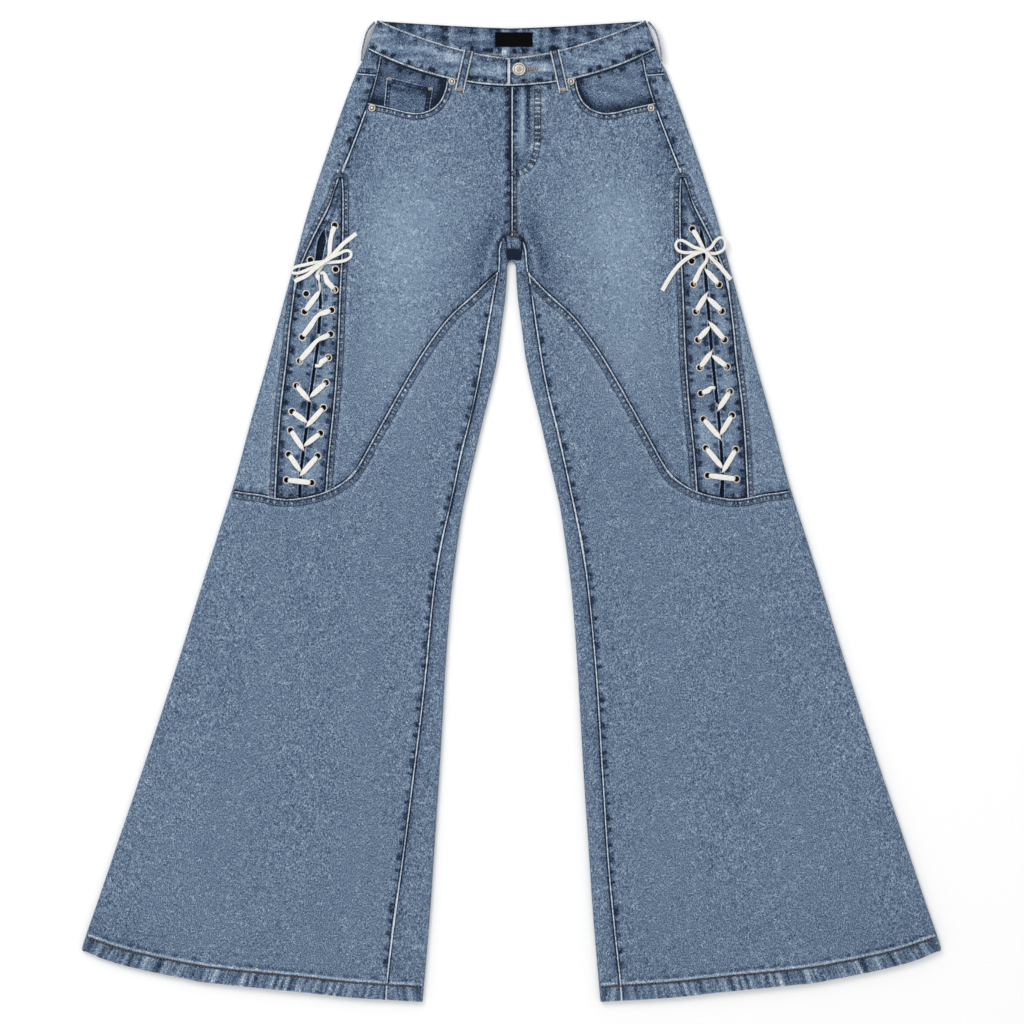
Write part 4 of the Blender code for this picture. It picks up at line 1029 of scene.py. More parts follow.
class Tree:
    """A short way to write a material's nodes."""

    def __init__(self, name: str) -> None:
        """Args:
            name: Name of the new material.
        """
        self.material = bpy.data.materials.new(name)
        self.material.use_nodes = True
        self.nodes = self.material.node_tree.nodes
        self.shader = self.nodes["Principled BSDF"]

    def set(self, node: bpy.types.Node, values: dict[str | int, object]) -> None:
        """Args:
            node: A node.
            values: Another node's output or a plain value for each input that is named.
        """
        for key, value in values.items():
            if isinstance(value, Socket):
                self.material.node_tree.links.new(value, node.inputs[key])
            else:
                node.inputs[key].default_value = value

    def finish(self, values: dict[str, object], relief: object = None, strength: float = 1.0) -> Material:
        """Args:
            values: What the shader's inputs take.
            relief: Relief in millimetres.
            strength: How much of it shows.
        Returns:
            The material.
        """
        if relief is not None:
            bump = self.node("Bump", {"Distance": MM, "Strength": strength, "Height": relief})
            values["Normal"] = bump.outputs["Normal"]
        self.set(self.shader, values)
        return self.material

    def node(self, kind: str, values: dict[str | int, object], **settings: object) -> bpy.types.Node:
        """Args:
            kind: The node's type.
            values: What its inputs take.
            **settings: Its own settings.
        Returns:
            The new node.
        """
        made = self.nodes.new("ShaderNode" + kind)
        for name, value in settings.items():
            setattr(made, name, value)
        self.set(made, values)
        return made

    def math(self, kind: str, *values: object) -> Socket:
        """The result of one operation."""
        return self.node("Math", dict(enumerate(values)), operation=kind).outputs[0]

    def mul(self, *values: object) -> Socket:
        """The product of all values."""
        return functools.reduce(lambda a, b: self.math("MULTIPLY", a, b), values)

    def less(self, value: object, other: object) -> Socket:
        """One value less another."""
        return self.math("SUBTRACT", value, other)

    def join(self, *values: object) -> Socket:
        """The sum of terms, each a value or a (value, factor) pair."""
        terms = (self.mul(*value) if isinstance(value, tuple) else value for value in values)
        return functools.reduce(lambda a, b: self.math("ADD", a, b), terms, 0.0)

    def step(self, value: object, low: object, high: object) -> Socket:
        """A soft step of the value, from 0 at low to 1 at high."""
        values = {"Value": value, "From Min": low, "From Max": high}
        return self.node("MapRange", values, interpolation_type="SMOOTHSTEP").outputs["Result"]

    def ridge(self, value: object, centre: object, width: object) -> Socket:
        """A ridge of height 1 over the centre, down to 0 a width away."""
        return self.step(self.math("ABSOLUTE", self.less(value, centre)), width, 0.0)

    def vector(self, *values: object) -> Socket:
        """A vector of up to three values."""
        return self.node("CombineXYZ", dict(enumerate(values))).outputs[0]

    def parts(self, vector: Socket) -> list[Socket]:
        """The three values of a vector."""
        return self.node("SeparateXYZ", {0: vector}).outputs[:]

    def uv(self, name: str) -> list[Socket]:
        """The two values of a UV map."""
        return self.parts(self.node("UVMap", {}, uv_map=name).outputs["UV"])[:2]

    def place(self, scale: Colour = (1, 1, 1), turn: float = 0.0) -> Socket:
        """The object's coordinates, turned about Z by degrees and stretched."""
        values = {"Vector": self.node("TexCoord", {}).outputs["Object"], "Scale": scale}
        return self.node("Mapping", {**values, "Rotation": (0, 0, math.radians(turn))}).outputs[0]

    def noise(self, vector: Socket, scale: float, detail: float = 2.0, rough: float = 0.5,
              swirl: float = 0.0) -> Socket:
        """Noise of about 0.5, its scale in cells to a metre."""
        values = {"Vector": vector, "Scale": scale, "Detail": detail, "Roughness": rough, "Distortion": swirl}
        return self.node("TexNoise", values).outputs["Fac"]

    def wave(self, vector: Socket, scale: float, wander: float, direction: str = "DIAGONAL") -> Socket:
        """Bands from 0 to 1 that wander."""
        values = {"Vector": vector, "Scale": scale, "Distortion": wander, "Detail": 1.0, "Detail Scale": 1.0}
        return self.node("TexWave", values, bands_direction=direction).outputs["Fac"]

    def ramp(self, value: object, *stops: tuple[float, Colour]) -> Socket:
        """Args:
            value: Where the ramp is read.
            *stops: Positions and colours.
        Returns:
            The colour.
        """
        node = self.node("ValToRGB", {"Fac": value})
        elements = node.color_ramp.elements
        while len(elements) < len(stops):
            elements.new(0.5)
        for element, (position, colour) in zip(elements, stops):
            element.position = position
            element.color = (*colour, 1)
        return node.outputs["Color"]


DENIM_STOPS = (
    (0.0, (0.006, 0.011, 0.024)), (0.17, (0.03, 0.055, 0.105)), (0.35, (0.076, 0.114, 0.188)),
    (0.5, (0.136, 0.195, 0.283)), (0.65, (0.219, 0.305, 0.402)), (0.8, (0.34, 0.42, 0.5)),
    (1.0, (0.66, 0.7, 0.74)))


@dataclass(frozen=True)
class DenimFinish:
    """Stone-washed denim, with its seams read from the piece's UV maps."""

    name: str
    level: float = 0.444
    grain: float = 1.3
    slow: float = 0.04
    streak: float = 0.0

    def make(self) -> Material:
        """Returns:
            The material.
        """
        t = Tree(self.name)
        seam, band, (tone, pucker) = t.uv("seam"), t.uv("band"), t.uv("tone")
        plain = t.place()
        fine = t.noise(t.place((1.0, 0.66, 1.0)), 900, 1.0, 0.6)
        worms = t.noise(t.place((1.0, 0.85, 1.0), 25), 210, 1.0, 0.4, 1.5)
        broken = t.step(t.noise(t.place((1, 1, 1), 60), 130, 0.0), 0.44, 0.54)
        bright, dark = t.mul(t.ridge(worms, 0.46, 0.06), broken), t.mul(t.ridge(worms, 0.58, 0.06), broken)
        calm = t.math("MINIMUM", t.math("MAXIMUM", t.join(0.98, (tone, -3.4)), 0.55), 1.0)
        value = t.join(self.level, tone, (t.less(fine, 0.5), calm, self.grain), (bright, 0.21), (dark, -0.15),
                       (t.less(t.noise(plain, 30), 0.5), self.slow),
                       (t.less(t.noise(plain, 7, 1.0), 0.5), 0.04))
        if self.streak:
            rows = t.noise(t.place((0.8, 3.2, 1.0)), 48, 2.0, 0.55)
            columns = t.noise(t.place((1.0, 0.14, 1.0)), 95, 1.0)
            inside = t.step(t.parts(plain)[2], 0.0034, 0.0026)
            value = t.join(value, (t.less(rows, 0.5), self.streak), (inside, t.less(columns, 0.5), 0.9))
        seams, height = self.sewn(t, *seam, *band, pucker)
        return t.finish({"Base Color": t.ramp(t.join(value, seams), *DENIM_STOPS),
                         "Roughness": t.join(0.86, (fine, 0.1)), "Sheen Weight": 0.06, "Sheen Roughness": 0.5,
                         "Specular IOR Level": 0.15}, t.join((fine, 0.07), (bright, 0.06), height))

    @staticmethod
    def sewn(t: Tree, along: Socket, away: Socket, width: Socket, edge: Socket,
             pucker: Socket) -> tuple[Socket, Socket]:
        """What sewing does to tone and relief: rubbed edges, grooves with painted shade, painted shadow on a
        piece under an edge, stitched bands, hems.

        Args:
            t: The material's nodes.
            along: Distance along the nearest seam.
            away: Distance from it.
            width: Width of the stitched band beside it.
            edge: Above 0 on the piece on top, below 0 on the one under it.
            pucker: How strongly the cloth is drawn up.
        Returns:
            The change of tone and the relief in millimetres.
        """
        over = t.math("MAXIMUM", edge, 0.0)
        under_it = t.math("MAXIMUM", t.mul(edge, -1.0), 0.0)
        line = t.mul(t.ridge(away, 0.7, 0.95), over)
        # groove, shadow and soft are painted shade: in the groove beside a rubbed edge, on the piece under an
        # edge, and within 9 mm of a seam.
        groove = t.mul(t.ridge(away, 2.5, 1.1), over)
        shadow = t.mul(t.step(away, 2.6, 0.7), under_it)
        soft = t.mul(t.step(away, 9.0, 1.0), t.math("ABSOLUTE", edge))
        banded = t.step(width, 0.5, 1.0)
        hemmed = t.step(width, 13.0, 14.0)
        narrow = t.less(banded, hemmed)
        in_band = t.mul(banded, t.step(t.less(width, away), -0.4, 0.5))
        far = t.mul(banded, t.ridge(away, width, t.join(1.0, (hemmed, 0.7))))
        glow = t.mul(banded, t.ridge(away, t.join(width, 3.0), 2.6))
        line_at = t.vector(along, t.mul(away, 0.35), width)
        wander = t.noise(line_at, 0.05, 1.0)
        blots = t.less(t.noise(line_at, 0.13, 2.0, 0.6), 0.5)
        beat = t.math("SINE", t.mul(t.join((along, 1.0 / 6.4), (wander, 3.0)), 2 * math.pi))
        dots = t.mul(narrow, t.ridge(away, t.mul(width, 0.56), 3.0), t.step(beat, 0.1, 0.9), pucker,
                     t.step(wander, 0.28, 0.50))
        slanted = t.vector(t.join(along, (away, -0.22)), t.mul(away, 0.07))
        hem = t.mul(hemmed, in_band)
        rope = t.mul(hem, t.less(t.noise(slanted, 0.125, 2.0, 0.55), 0.5))
        cloudy = t.mul(hemmed, t.ridge(away, t.join(width, 6.5), 4.0), t.step(blots, -0.12, 0.12))
        spaced = t.math("SINE", t.mul(t.join((along, 1.0 / 15.0), (wander, 2.0)), 2 * math.pi))
        clots = t.mul(t.ridge(away, 5.0, 4.6), t.step(spaced, 0.05, 0.8), pucker, t.less(1.0, banded))
        drawn = t.mul(t.step(away, 15.0, 2.0), t.less(1.0, hemmed), pucker, blots)
        tone = t.join((line, 0.74), (groove, -0.40), (shadow, -0.46), (soft, -0.07), (narrow, in_band, -0.17),
                      (far, -0.24), (glow, 0.07), (dots, 0.50), (hem, -0.01), (rope, 1.75),
                      (hemmed, far, -0.20), (hemmed, glow, 0.22), (cloudy, -0.22),
                      (hemmed, t.step(away, 1.8, 0.4), 0.08), (drawn, 0.75), (clots, -0.42))
        relief = t.join((groove, -0.35), (shadow, -0.3), (dots, 0.5), (rope, 1.1), (far, -0.3), (drawn, 0.5))
        return tone, relief


@dataclass(frozen=True)
class TapeFinish:
    """Woven cotton tape."""

    name: str
    colour: Colour

    def make(self) -> Material:
        """Returns:
            The material.
        """
        t = Tree(self.name)
        coords = t.vector(*t.uv("seam"))
        ribs, warp = t.wave(coords, 0.30, 1.0, "X"), t.wave(coords, 0.5, 0.4, "Y")
        colour = t.ramp(t.join((ribs, 0.25), (warp, 0.25), (t.noise(coords, 0.25), 0.5)),
                        (0.15, tinted(self.colour, 0.7, 0.7, 0.68)), (0.5, self.colour),
                        (0.9, tinted(self.colour, 1.08, 1.08, 1.08)))
        return t.finish({"Base Color": colour, "Roughness": 0.85, "Sheen Weight": 0.2},
                        t.join((ribs, 0.08), (warp, 0.05)))


@dataclass(frozen=True)
class ThreadFinish:
    """Sewing thread, twisted, a little uneven in colour."""

    name: str
    dark: Colour
    light: Colour

    def make(self) -> Material:
        """Returns:
            The material.
        """
        t = Tree(self.name)
        twist = t.wave(t.place((1, 1, 1), 30), 500, 1.0)
        mixed = t.join((twist, 0.3), (t.noise(t.place(), 120), 0.8), -0.05)
        return t.finish({"Base Color": t.ramp(mixed, (0.25, self.dark), (0.75, self.light)), "Roughness": 0.7},
                        twist, 0.4)


@dataclass(frozen=True)
class MetalFinish:
    """Pale metal with fine scratches."""

    name: str
    colour: Colour
    rough: float = 0.42

    def make(self) -> Material:
        """Returns:
            The material.
        """
        t = Tree(self.name)
        scratches = t.noise(t.place((1, 6, 1), 35), 700, 3.0, 0.6)
        colour = t.ramp(t.join((t.noise(t.place(), 300), 0.6), (scratches, 0.4)),
                        (0.3, tinted(self.colour, 0.6, 0.58, 0.55)), (0.55, self.colour),
                        (0.85, tinted(self.colour, 1.2, 1.2, 1.2)))
        return t.finish({"Base Color": colour, "Metallic": 0.85,
                         "Roughness": t.join(self.rough - 0.1, (scratches, 0.25))}, scratches, 0.15)


@dataclass(frozen=True)
class LabelFinish:
    """Black woven label."""

    name: str

    def make(self) -> Material:
        """Returns:
            The material.
        """
        t = Tree(self.name)
        weft, fuzz = t.wave(t.place(), 230, 0.2, "Y"), t.noise(t.place(), 900)
        colour = t.ramp(t.join((weft, 0.5), (fuzz, 0.5)), (0.2, (0.001,) * 3), (0.9, (0.004,) * 3))
        return t.finish({"Base Color": colour, "Roughness": 0.9, "Specular IOR Level": 0.05},
                        t.join((weft, 0.08), (fuzz, 0.05)))


@dataclass(frozen=True)
class FloorFinish:
    """Pale seamless floor."""

    name: str

    def make(self) -> Material:
        """Returns:
            The material.
        """
        t = Tree(self.name)
        colour = t.ramp(t.noise(t.place(), 400, 1.0), (0.3, (0.95,) * 3), (0.7, (0.965,) * 3))
        return t.finish({"Base Color": colour, "Roughness": 0.95, "Specular IOR Level": 0.1})


def once(finish: object) -> object:
    """A dataclass field that makes its finish when the wardrobe is filled."""
    return field(default_factory=finish.make)


@dataclass
class Wardrobe:
    """All finishes of the garment, made once."""

    denim: Material = once(DenimFinish("denim_washed"))
    shaded: Material = once(DenimFinish("denim_gore", 0.44, 1.1, 0.55))
    belt: Material = once(DenimFinish("denim_belt", 0.46, 1.1, 0.2, 0.95))
    tape: Material = once(TapeFinish("lace_cotton", (0.82, 0.80, 0.76)))
    brown: Material = once(ThreadFinish("thread_brown", (0.03, 0.021, 0.018), (0.17, 0.115, 0.08)))
    tan: Material = once(ThreadFinish("thread_tan", (0.25, 0.2, 0.16), (0.62, 0.52, 0.42)))
    blue: Material = once(ThreadFinish("thread_blue", (0.10, 0.10, 0.12), (0.30, 0.31, 0.34)))
    metal: Material = once(MetalFinish("metal_ivory", (0.66, 0.62, 0.56)))
    ring: Material = once(MetalFinish("metal_gilt", (0.86, 0.78, 0.66)))
    bronze: Material = once(MetalFinish("metal_bronze", (0.10, 0.065, 0.045), 0.5))
    label: Material = once(LabelFinish("label_woven"))


# ---------------------------------------------------------------- sewing


@functools.cache
def one_stitch() -> tuple[Array, Array]:
    """Returns:
        Points and faces of one stitch of unit length along X.
    """
    clear_selection()
    bpy.ops.mesh.primitive_uv_sphere_add(segments=6, ring_count=4, radius=1.0)
    ball = bpy.context.active_object
    bpy.ops.object.mode_set(mode="EDIT")
    bpy.ops.mesh.select_all(action="SELECT")
    bpy.ops.mesh.quads_convert_to_tris()
    bpy.ops.object.mode_set(mode="OBJECT")
    points = np.array([v.co[:] for v in ball.data.vertices])
    faces = np.array([p.vertices[:] for p in ball.data.polygons])
    bpy.data.objects.remove(ball, do_unlink=True)
    return points[:, [2, 1, 0]], faces[:, ::-1]


@dataclass
class Sewing:
    """Runs of stitches, modelled once as a small rounded bar and copied along the seams."""

    name: str
    material: Material
    radius: float = 0.42
    length: float = 2.6
    gap: float = 1.0
    bodies: list[Array] = field(default_factory=list)

    def run(self, path: Array, length: float = 0.0, gap: float | None = None, radius: float = 0.0) -> None:
        """Args:
            path: 3-D points that the seam follows.
            length: Length of a stitch, where it isn't the usual one.
            gap: Space between two, likewise.
            radius: Half thickness of the thread, likewise.
        """
        length, radius = length or self.length, radius or self.radius
        points, _ = one_stitch()
        along = run_lengths(path)
        for start in np.arange(0, along[-1] - length * 0.6, length + (self.gap if gap is None else gap)):
            a, b = (np.array([np.interp(d, along, axis) for axis in path.T]) for d in (start, start + length))
            if np.linalg.norm(b - a) < 0.2:
                continue
            head = unit(b - a)
            across = unit(np.cross([0, 0, 1.0], head))
            self.bodies.append((a + b) / 2 + points[:, :1] * (b - a) / 2 + points[:, 1:2] * across * radius
                               + points[:, 2:3] * np.cross(head, across) * radius * 0.7)

    def bar(self, x: float, y: float, z: float, run: tuple[float, float], length: float,
            radius: float = 0.0) -> None:
        """One long stitch from a point, as far on as its run says."""
        self.run(np.array([[x, y, z], [x + run[0], y + run[1], z]]), length, 0.5, radius)

    def make(self) -> None:
        """Makes all runs one piece."""
        points, faces = one_stitch()
        mesh = bpy.data.meshes.new(self.name)
        all_faces = np.concatenate([faces + len(points) * k for k in range(len(self.bodies))])
        mesh.from_pydata((np.concatenate(self.bodies) * MM).tolist(), [], all_faces.tolist())
        obj = link(self.name, mesh)
        smooth(obj, 180)
        settle(obj, self.material, Slot.DENIM)


def offset_line(points: Array, distance: float) -> Array:
    """Plan points moved sideways, to the left of their direction."""
    return points + square(unit(np.gradient(points, axis=0))) * distance


def lay(plan: Array, side: int, above: float = 0.0, flat: bool = False) -> Array:
    """Puts a plan line on the front layer.

    Args:
        plan: Plan points on the half x > 0.
        side: Which half.
        above: Height above the plain cloth.
        flat: Whether the creases are left out.
    Returns:
        3-D points.
    """
    x, y = plan.T
    z = FRONT_OUT + swell(x, y) + above
    if not flat:
        z = z + crease_height(x, y, side) * 0.25
    return np.stack([x * side, y, z], axis=1)


Node = tuple[Array, Array, float, float]


def refined(nodes: Sequence[Node], split: int) -> list[Node]:
    """Args:
        nodes: Nodes of a tape.
        split: Fine runs for each coarse one.
    Returns:
        A smooth, finer line through them.
    """
    points = np.array([n[0] for n in nodes])
    across = unit(np.array([n[1] for n in nodes]))
    sizes = np.array([n[2:] for n in nodes])
    runs = np.diff(points, axis=0)
    lengths, heads = np.linalg.norm(runs, axis=1), unit(runs)
    tangents = unit(np.concatenate([heads[:1], heads[:-1] + heads[1:], heads[-1:]]))
    fine: list[Node] = []
    for i, length in enumerate(lengths):
        for t in np.linspace(0, 1, (split if length > 1.5 else 2) + 1)[:-1]:
            point = hermite(points[i], points[i + 1], tangents[i] * length, tangents[i + 1] * length, t)
            width, thick = sizes[i] * (1 - t) + sizes[i + 1] * t
            fine.append((point, across[i] * (1 - t) + across[i + 1] * t, float(width), float(thick)))
    return fine + [(points[-1], across[-1], *sizes[-1])]


RIBBON = np.array([(-1.0, -0.45), (-0.82, -1.0), (0.0, -0.9), (0.82, -1.0), (1.0, -0.45), (1.0, 0.45),
                   (0.82, 1.0), (0.42, 0.92), (0.0, 0.86), (-0.42, 0.92), (-0.82, 1.0), (-1.0, 0.45)])


def ribbon(name: str, nodes: Sequence[Node]) -> Object:
    """A flat tape with rounded edges, closed at both ends.

    Args:
        name: Name of the piece.
        nodes: (point, width direction, width, thickness) nodes.
    Returns:
        The tape, with its length and width in the UV maps of the cloth.
    """
    points, across = np.array([n[0] for n in nodes]), np.array([n[1] for n in nodes])
    half, rise = np.array([n[2:] for n in nodes]).T / 2
    padded = np.concatenate([points[:1], points, points[-1:]])
    head = unit(padded[2:] - padded[:-2])
    flat = unit(across - head * (across * head).sum(axis=1, keepdims=True))
    wide, high = flat * half[:, None], np.cross(head, flat) * rise[:, None]
    verts = points[:, None] + wide[:, None] * RIBBON[:, :1] + high[:, None] * RIBBON[:, 1:]
    ring, last = len(RIBBON), len(RIBBON) * (len(nodes) - 1)
    faces = [[a + k, a + (k + 1) % ring, a + ring + (k + 1) % ring, a + ring + k]
             for a in range(0, last, ring) for k in range(ring)]
    faces += [list(range(ring))[::-1], [last + k for k in range(ring)]]
    i, k = np.divmod(np.array([corner for face in faces for corner in face]), ring)
    seam = np.stack([run_lengths(points)[i], half[i] * (1 - np.abs(RIBBON[k, 0]))], axis=1)
    maps = {"seam": seam, "band": np.tile((0.0, 0.8), (len(i), 1)), "tone": np.tile((0.0, 0.5), (len(i), 1))}
    return shell(name, verts.reshape(-1, 3), faces, maps, 50)


# ---------------------------------------------------------------- sub-assemblies


@dataclass
class Half:
    """What the sub-assemblies of one side share."""

    side: int
    word: str
    wardrobe: Wardrobe

    def cloth(self, name: str, node: str, *made: object, **looks: object) -> Piece:
        """Args:
            name: Name of the piece, without its side.
            node: The CAD node that it stands for, likewise.
            *made: Its grid, tracks, flat size and, where it isn't plain denim, its slot.
            **looks: Its other looks.
        Returns:
            A piece of this side.
        """
        grid, tracks, *others = made
        return Piece(f"{name}_{self.word}", self.side, grid, tracks, f"{node}_{self.word}", *others, **looks)


@dataclass
class HipFront(Half):
    """Front hip and thigh panel of one side, with its scoop."""

    band_width: float = 7.2
    fly_foot: float = 374.0

    def seams(self) -> list[Track]:
        """Returns:
            The seams round the panel, with the fly's on the wearer's left.
        """
        fork = INSEAMS[self.side].at(np.linspace(0, INSEAM_START[self.side], 20))
        tracks = [Track(dense(GORE_FRONT), self.band_width, 1.0, 0.8, 0.3),
                  Track(dense(side_seam_points()[1:]), 0.0, 1.0, 0.5),
                  Track(dense(SCOOP[:-1] + [Point(72.6, 480.4)]), self.band_width, 1.0, 1.0, 0.35),
                  Track(under(np.linspace(SCOOP[-1].x, 0, 20), band_bottom), 0.0, -1.0, 0.8),
                  Track(fork, 0.0, -0.7, 0.2),
                  Track(dense(knee_table(self.side)[6:]), 0.0, -1.0, 0.25)]
        high = np.array([[0.0, CENTRE_BAND_BOTTOM], [0.0, self.fly_foot]])
        low = np.array([[0.0, self.fly_foot], [0.0, CROTCH_Y]])
        if self.side < 0:
            return tracks + [Track(high, 0.0, -1.2, 0.5), Track(low, 0.0, -1.0, 0.7)]
        return tracks + [Track(high, 0.0, 1.1, 0.5), Track(low, 5.8, 1.1, 0.9),
                         Track(dense(FLY_BAND), 3.4, 0.0, 1.1)]

    def make(self) -> None:
        """Makes the panel."""
        centre = [np.array([0.0, y]) for y in np.linspace(CENTRE_BAND_BOTTOM, CROTCH_Y, 12)]
        right = centre + fork_inseam(self.side)[1:]
        left = side_seam_points()[1:] + gore_points(GORE_FRONT)
        scoop = Curve(SCOOP)
        top = [*scoop.spread(0, scoop.length, 8)[:-1], *under(np.linspace(SCOOP[-1].x, 0, 5), band_bottom)]
        bottom = knee_points(self.side)[-HIP_COLUMNS - 1:]
        vs = marks([6] * (len(left) - 1), 0.045, 0.045)
        us = marks([4] * (HIP_COLUMNS - 2) + [8, 14], 0.07, 0.07)
        grid = Grid.joined((front_layer(coons(left, right, top, bottom, vs, us)), True))
        piece = self.cloth("front", "front_panel", grid, self.seams(), (0.205, 0.46), extra_tone=self.centre_wear_and_shade,
                           extra_lift=self.fly_lift if self.side > 0 else None)
        piece.fit(self.wardrobe.denim, "laid", f"back_panel_{self.word}")

    def centre_wear_and_shade(self, x: Array, y: Array) -> Array:
        """Tone of the centre's edge, with a painted highlight along the soft fold that runs down from the
        crotch and painted shade beside it.

        Args:
            x: Half widths.
            y: Heights.
        Returns:
            The change of tone.
        """
        own = self.fly_tone(x, y) if self.side > 0 else self.under_edge_shade(x, y)
        fold = x - np.interp(y, [268, 294, 316], [29.0, 23.0, 13.0])
        near = smoothstep(256, 266, y) * smoothstep(322, 308, y)
        # shade is painted shade beyond the soft fold; the terms at near paint a highlight along the fold's
        # ridge, a little darker inside it.
        shade = -0.08 * hump(fold, 9, 6) * smoothstep(246, 262, y) * smoothstep(344, 318, y)
        return own + near * (0.13 * hump(fold, 0, 2.2) - 0.05 * hump(fold, -6, 3)) + shade

    @staticmethod
    def fly_tone(x: Array, y: Array) -> Array:
        """Tone of the fly: a dark column with rubbed dots, a light ridge, painted shade in the fold beside it
        and painted shade under the waistband.

        Args:
            x: Half widths.
            y: Heights.
        Returns:
            The change of tone.
        """
        inside = smoothstep(372, 384, y) * smoothstep(27, 24, x)
        column = -0.26 * hump(x, 4.6, 2.6) * (0.55 + 0.45 * smoothstep(410, 450, y))
        dots = 0.40 * hump(x, 3.6, 1.5) * np.clip(np.sin(y / 1.45 + 2.0 * np.sin(y / 23)), 0, 1) ** 2
        pale = 0.10 * hump(x, 9.0, 4.5) * hump(y, 420, 26)
        ridge = 0.20 * hump(x, 12.6, 2.0) * smoothstep(392, 430, y)
        # Painted shade in the fold beside the ridge.
        fold_shade = -0.42 * hump(x, 18.6, 2.4) * smoothstep(400, 446, y)
        foot = -0.24 * hump(x, 10.0, 9.0) * hump(y, 389, 9)
        # head is painted shade under the waistband.
        head = -0.14 * smoothstep(458, 476, y)
        return inside * (column + dots + pale + ridge + fold_shade + foot + head)

    @staticmethod
    def fly_lift(x: Array, y: Array) -> Array:
        """Relief of the fly."""
        inside = smoothstep(370, 392, y) * smoothstep(0.5, 3.0, x)
        return inside * (0.5 * hump(x, 12.0, 4.2) - 0.25 * hump(x, 19.5, 3.0) + 0.2 * hump(x, 27, 4.5))

    @staticmethod
    def under_edge_shade(x: Array, y: Array) -> Array:
        """Painted shade on the cloth that goes under the fly's edge, along the centre and under the waistband.
        """
        # Painted shade beside the fly's edge, along the centre and under the waistband.
        fly_edge_shade = (-0.30 * hump(x, 0, 3.4) - 0.12 * hump(x, 0, 9.0)) * smoothstep(368, 392, y)
        return fly_edge_shade - 0.10 * hump(x, 0, 5.0) - 0.1 * smoothstep(462, 476, y) * (1 - smoothstep(20, 40, x))


@dataclass
class Seat(Half):
    """Back panel of one side: under the hip, round the outer fold and up through the fork."""

    SHARES = np.array([0, 0.03, 0.06, 0.1, 0.15, 0.2, 0.25, 0.32, 0.42, 0.55, 0.68, 0.8, 0.9])

    def make(self) -> None:
        """Makes the panel."""
        seam = side_seam_points() + gore_points(GORE_BACK)
        rows = len(seam) - 1
        before = rows - FORK_ROWS
        heights = [YOKE_SIDE_Y + 2.5] + [p[1] + 1.5 for p in seam[1:-1]]
        distances = np.array([OUTER.distance_at(y) for y in heights] + [OUTER_KNEE])
        vs = marks([5] * rows, 0.0, 0.05)
        centres, normals = outer_fold(stretch(distances, vs))
        seam_line = Line(seam).at(vs)
        strip = strip_between(seam_line, centres, self.SHARES)
        foot = Line(knee_points(self.side)[3::-1]).at(self.SHARES * 3.0)
        strip = strip + (foot - strip[-1])[None] * np.clip(vs - (rows - 1), 0, 1)[:, None, None] ** 2
        fork = fork_distances()
        inner, inner_normals = inner_fold(np.interp(vs, np.arange(before, rows + 1), fork))
        middle = [(0.0, y) for y in np.linspace(yoke_back_bottom(0), inner_fold(0.0)[0][1], before + 1)]
        left, right = outer_fold(distances)[0], [*middle, *inner_fold(fork[1:])[0]]
        us = marks([2] * SEAT_COLUMNS)
        plan = coons(left, right, yoke_seam_points(left[0]), back_knee_points(), vs, us)
        late = vs >= before - 1e-9
        plan[:, 0], plan[late, -1] = centres, inner[late]
        inseam = Line(fork_inseam(self.side)).at(np.clip(vs - before, 0, FORK_ROWS))
        bend = fold_block(inner, inner_normals, -FOLD_DOWN)
        tops = front_layer(strip_between(inner, inseam, np.linspace(0, 1, 11)))
        bend[~late] = tops[~late] = np.nan
        grid = Grid.joined((front_layer(strip), True), (front_layer(centres[:, None]), True),
                           (fold_block(centres, normals, FOLD_DOWN), False), (back_layer(plan), False),
                           (bend, False), (tops, True))
        fork_line = Line(fork_inseam(self.side)).at(np.linspace(1.3, FORK_ROWS, 20))
        tracks = [Track(dense(side_seam_points()), 0.0, -1.1, 0.8), Track(dense(GORE_BACK), 6.8, 1.0, 0.8, 0.3),
                  Track(dense(KNEE_SEAM[:5]), 0.0, -1.0, 0.3), Track(fork_line, 0.0, 0.8, 0.15),
                  Track(np.stack([seam_line[0], centres[0]]), 0.0, -0.5, 0.8)]
        # The seat's inner faces are painted almost black: painted shade seen through the gore's slits and its
        # eyelet holes.
        piece = self.cloth("seat", "back_panel", grid, tracks, (0.37, 0.52), inner_tone=-0.56,
                           extra_tone=self.fork_shade_and_rows)
        piece.fit(self.wardrobe.denim, "folded", "floor")

    def fork_shade_and_rows(self, x: Array, y: Array) -> Array:
        """Painted shade of the rise between the legs: its fold painted near black and the dark slits beside it;
        and its darker double row.

        Args:
            x: Half widths.
            y: Heights.
        Returns:
            The change of tone.
        """
        off = np.abs(self.side * x - 2.8)
        slit_x = 7.4 + (y - 283) * 0.1
        inner = smoothstep(slit_x + 1.0, slit_x - 0.3, off)
        # slits paints shade in the dark gaps beside the rise, between the legs' inner edges.
        slits = -0.75 * hump(off, slit_x, 1.0) * smoothstep(283, 287, y)
        rows = -0.30 * hump(off, 2.4, 0.6) * smoothstep(291, 293, y)
        # folded paints the fold of the rise almost black, as the shadow that fills it.
        folded = -0.95 * inner * smoothstep(293.6, 291.8, y) * smoothstep(280, 282, y)
        return np.minimum(slits, folded) + rows + 0.05


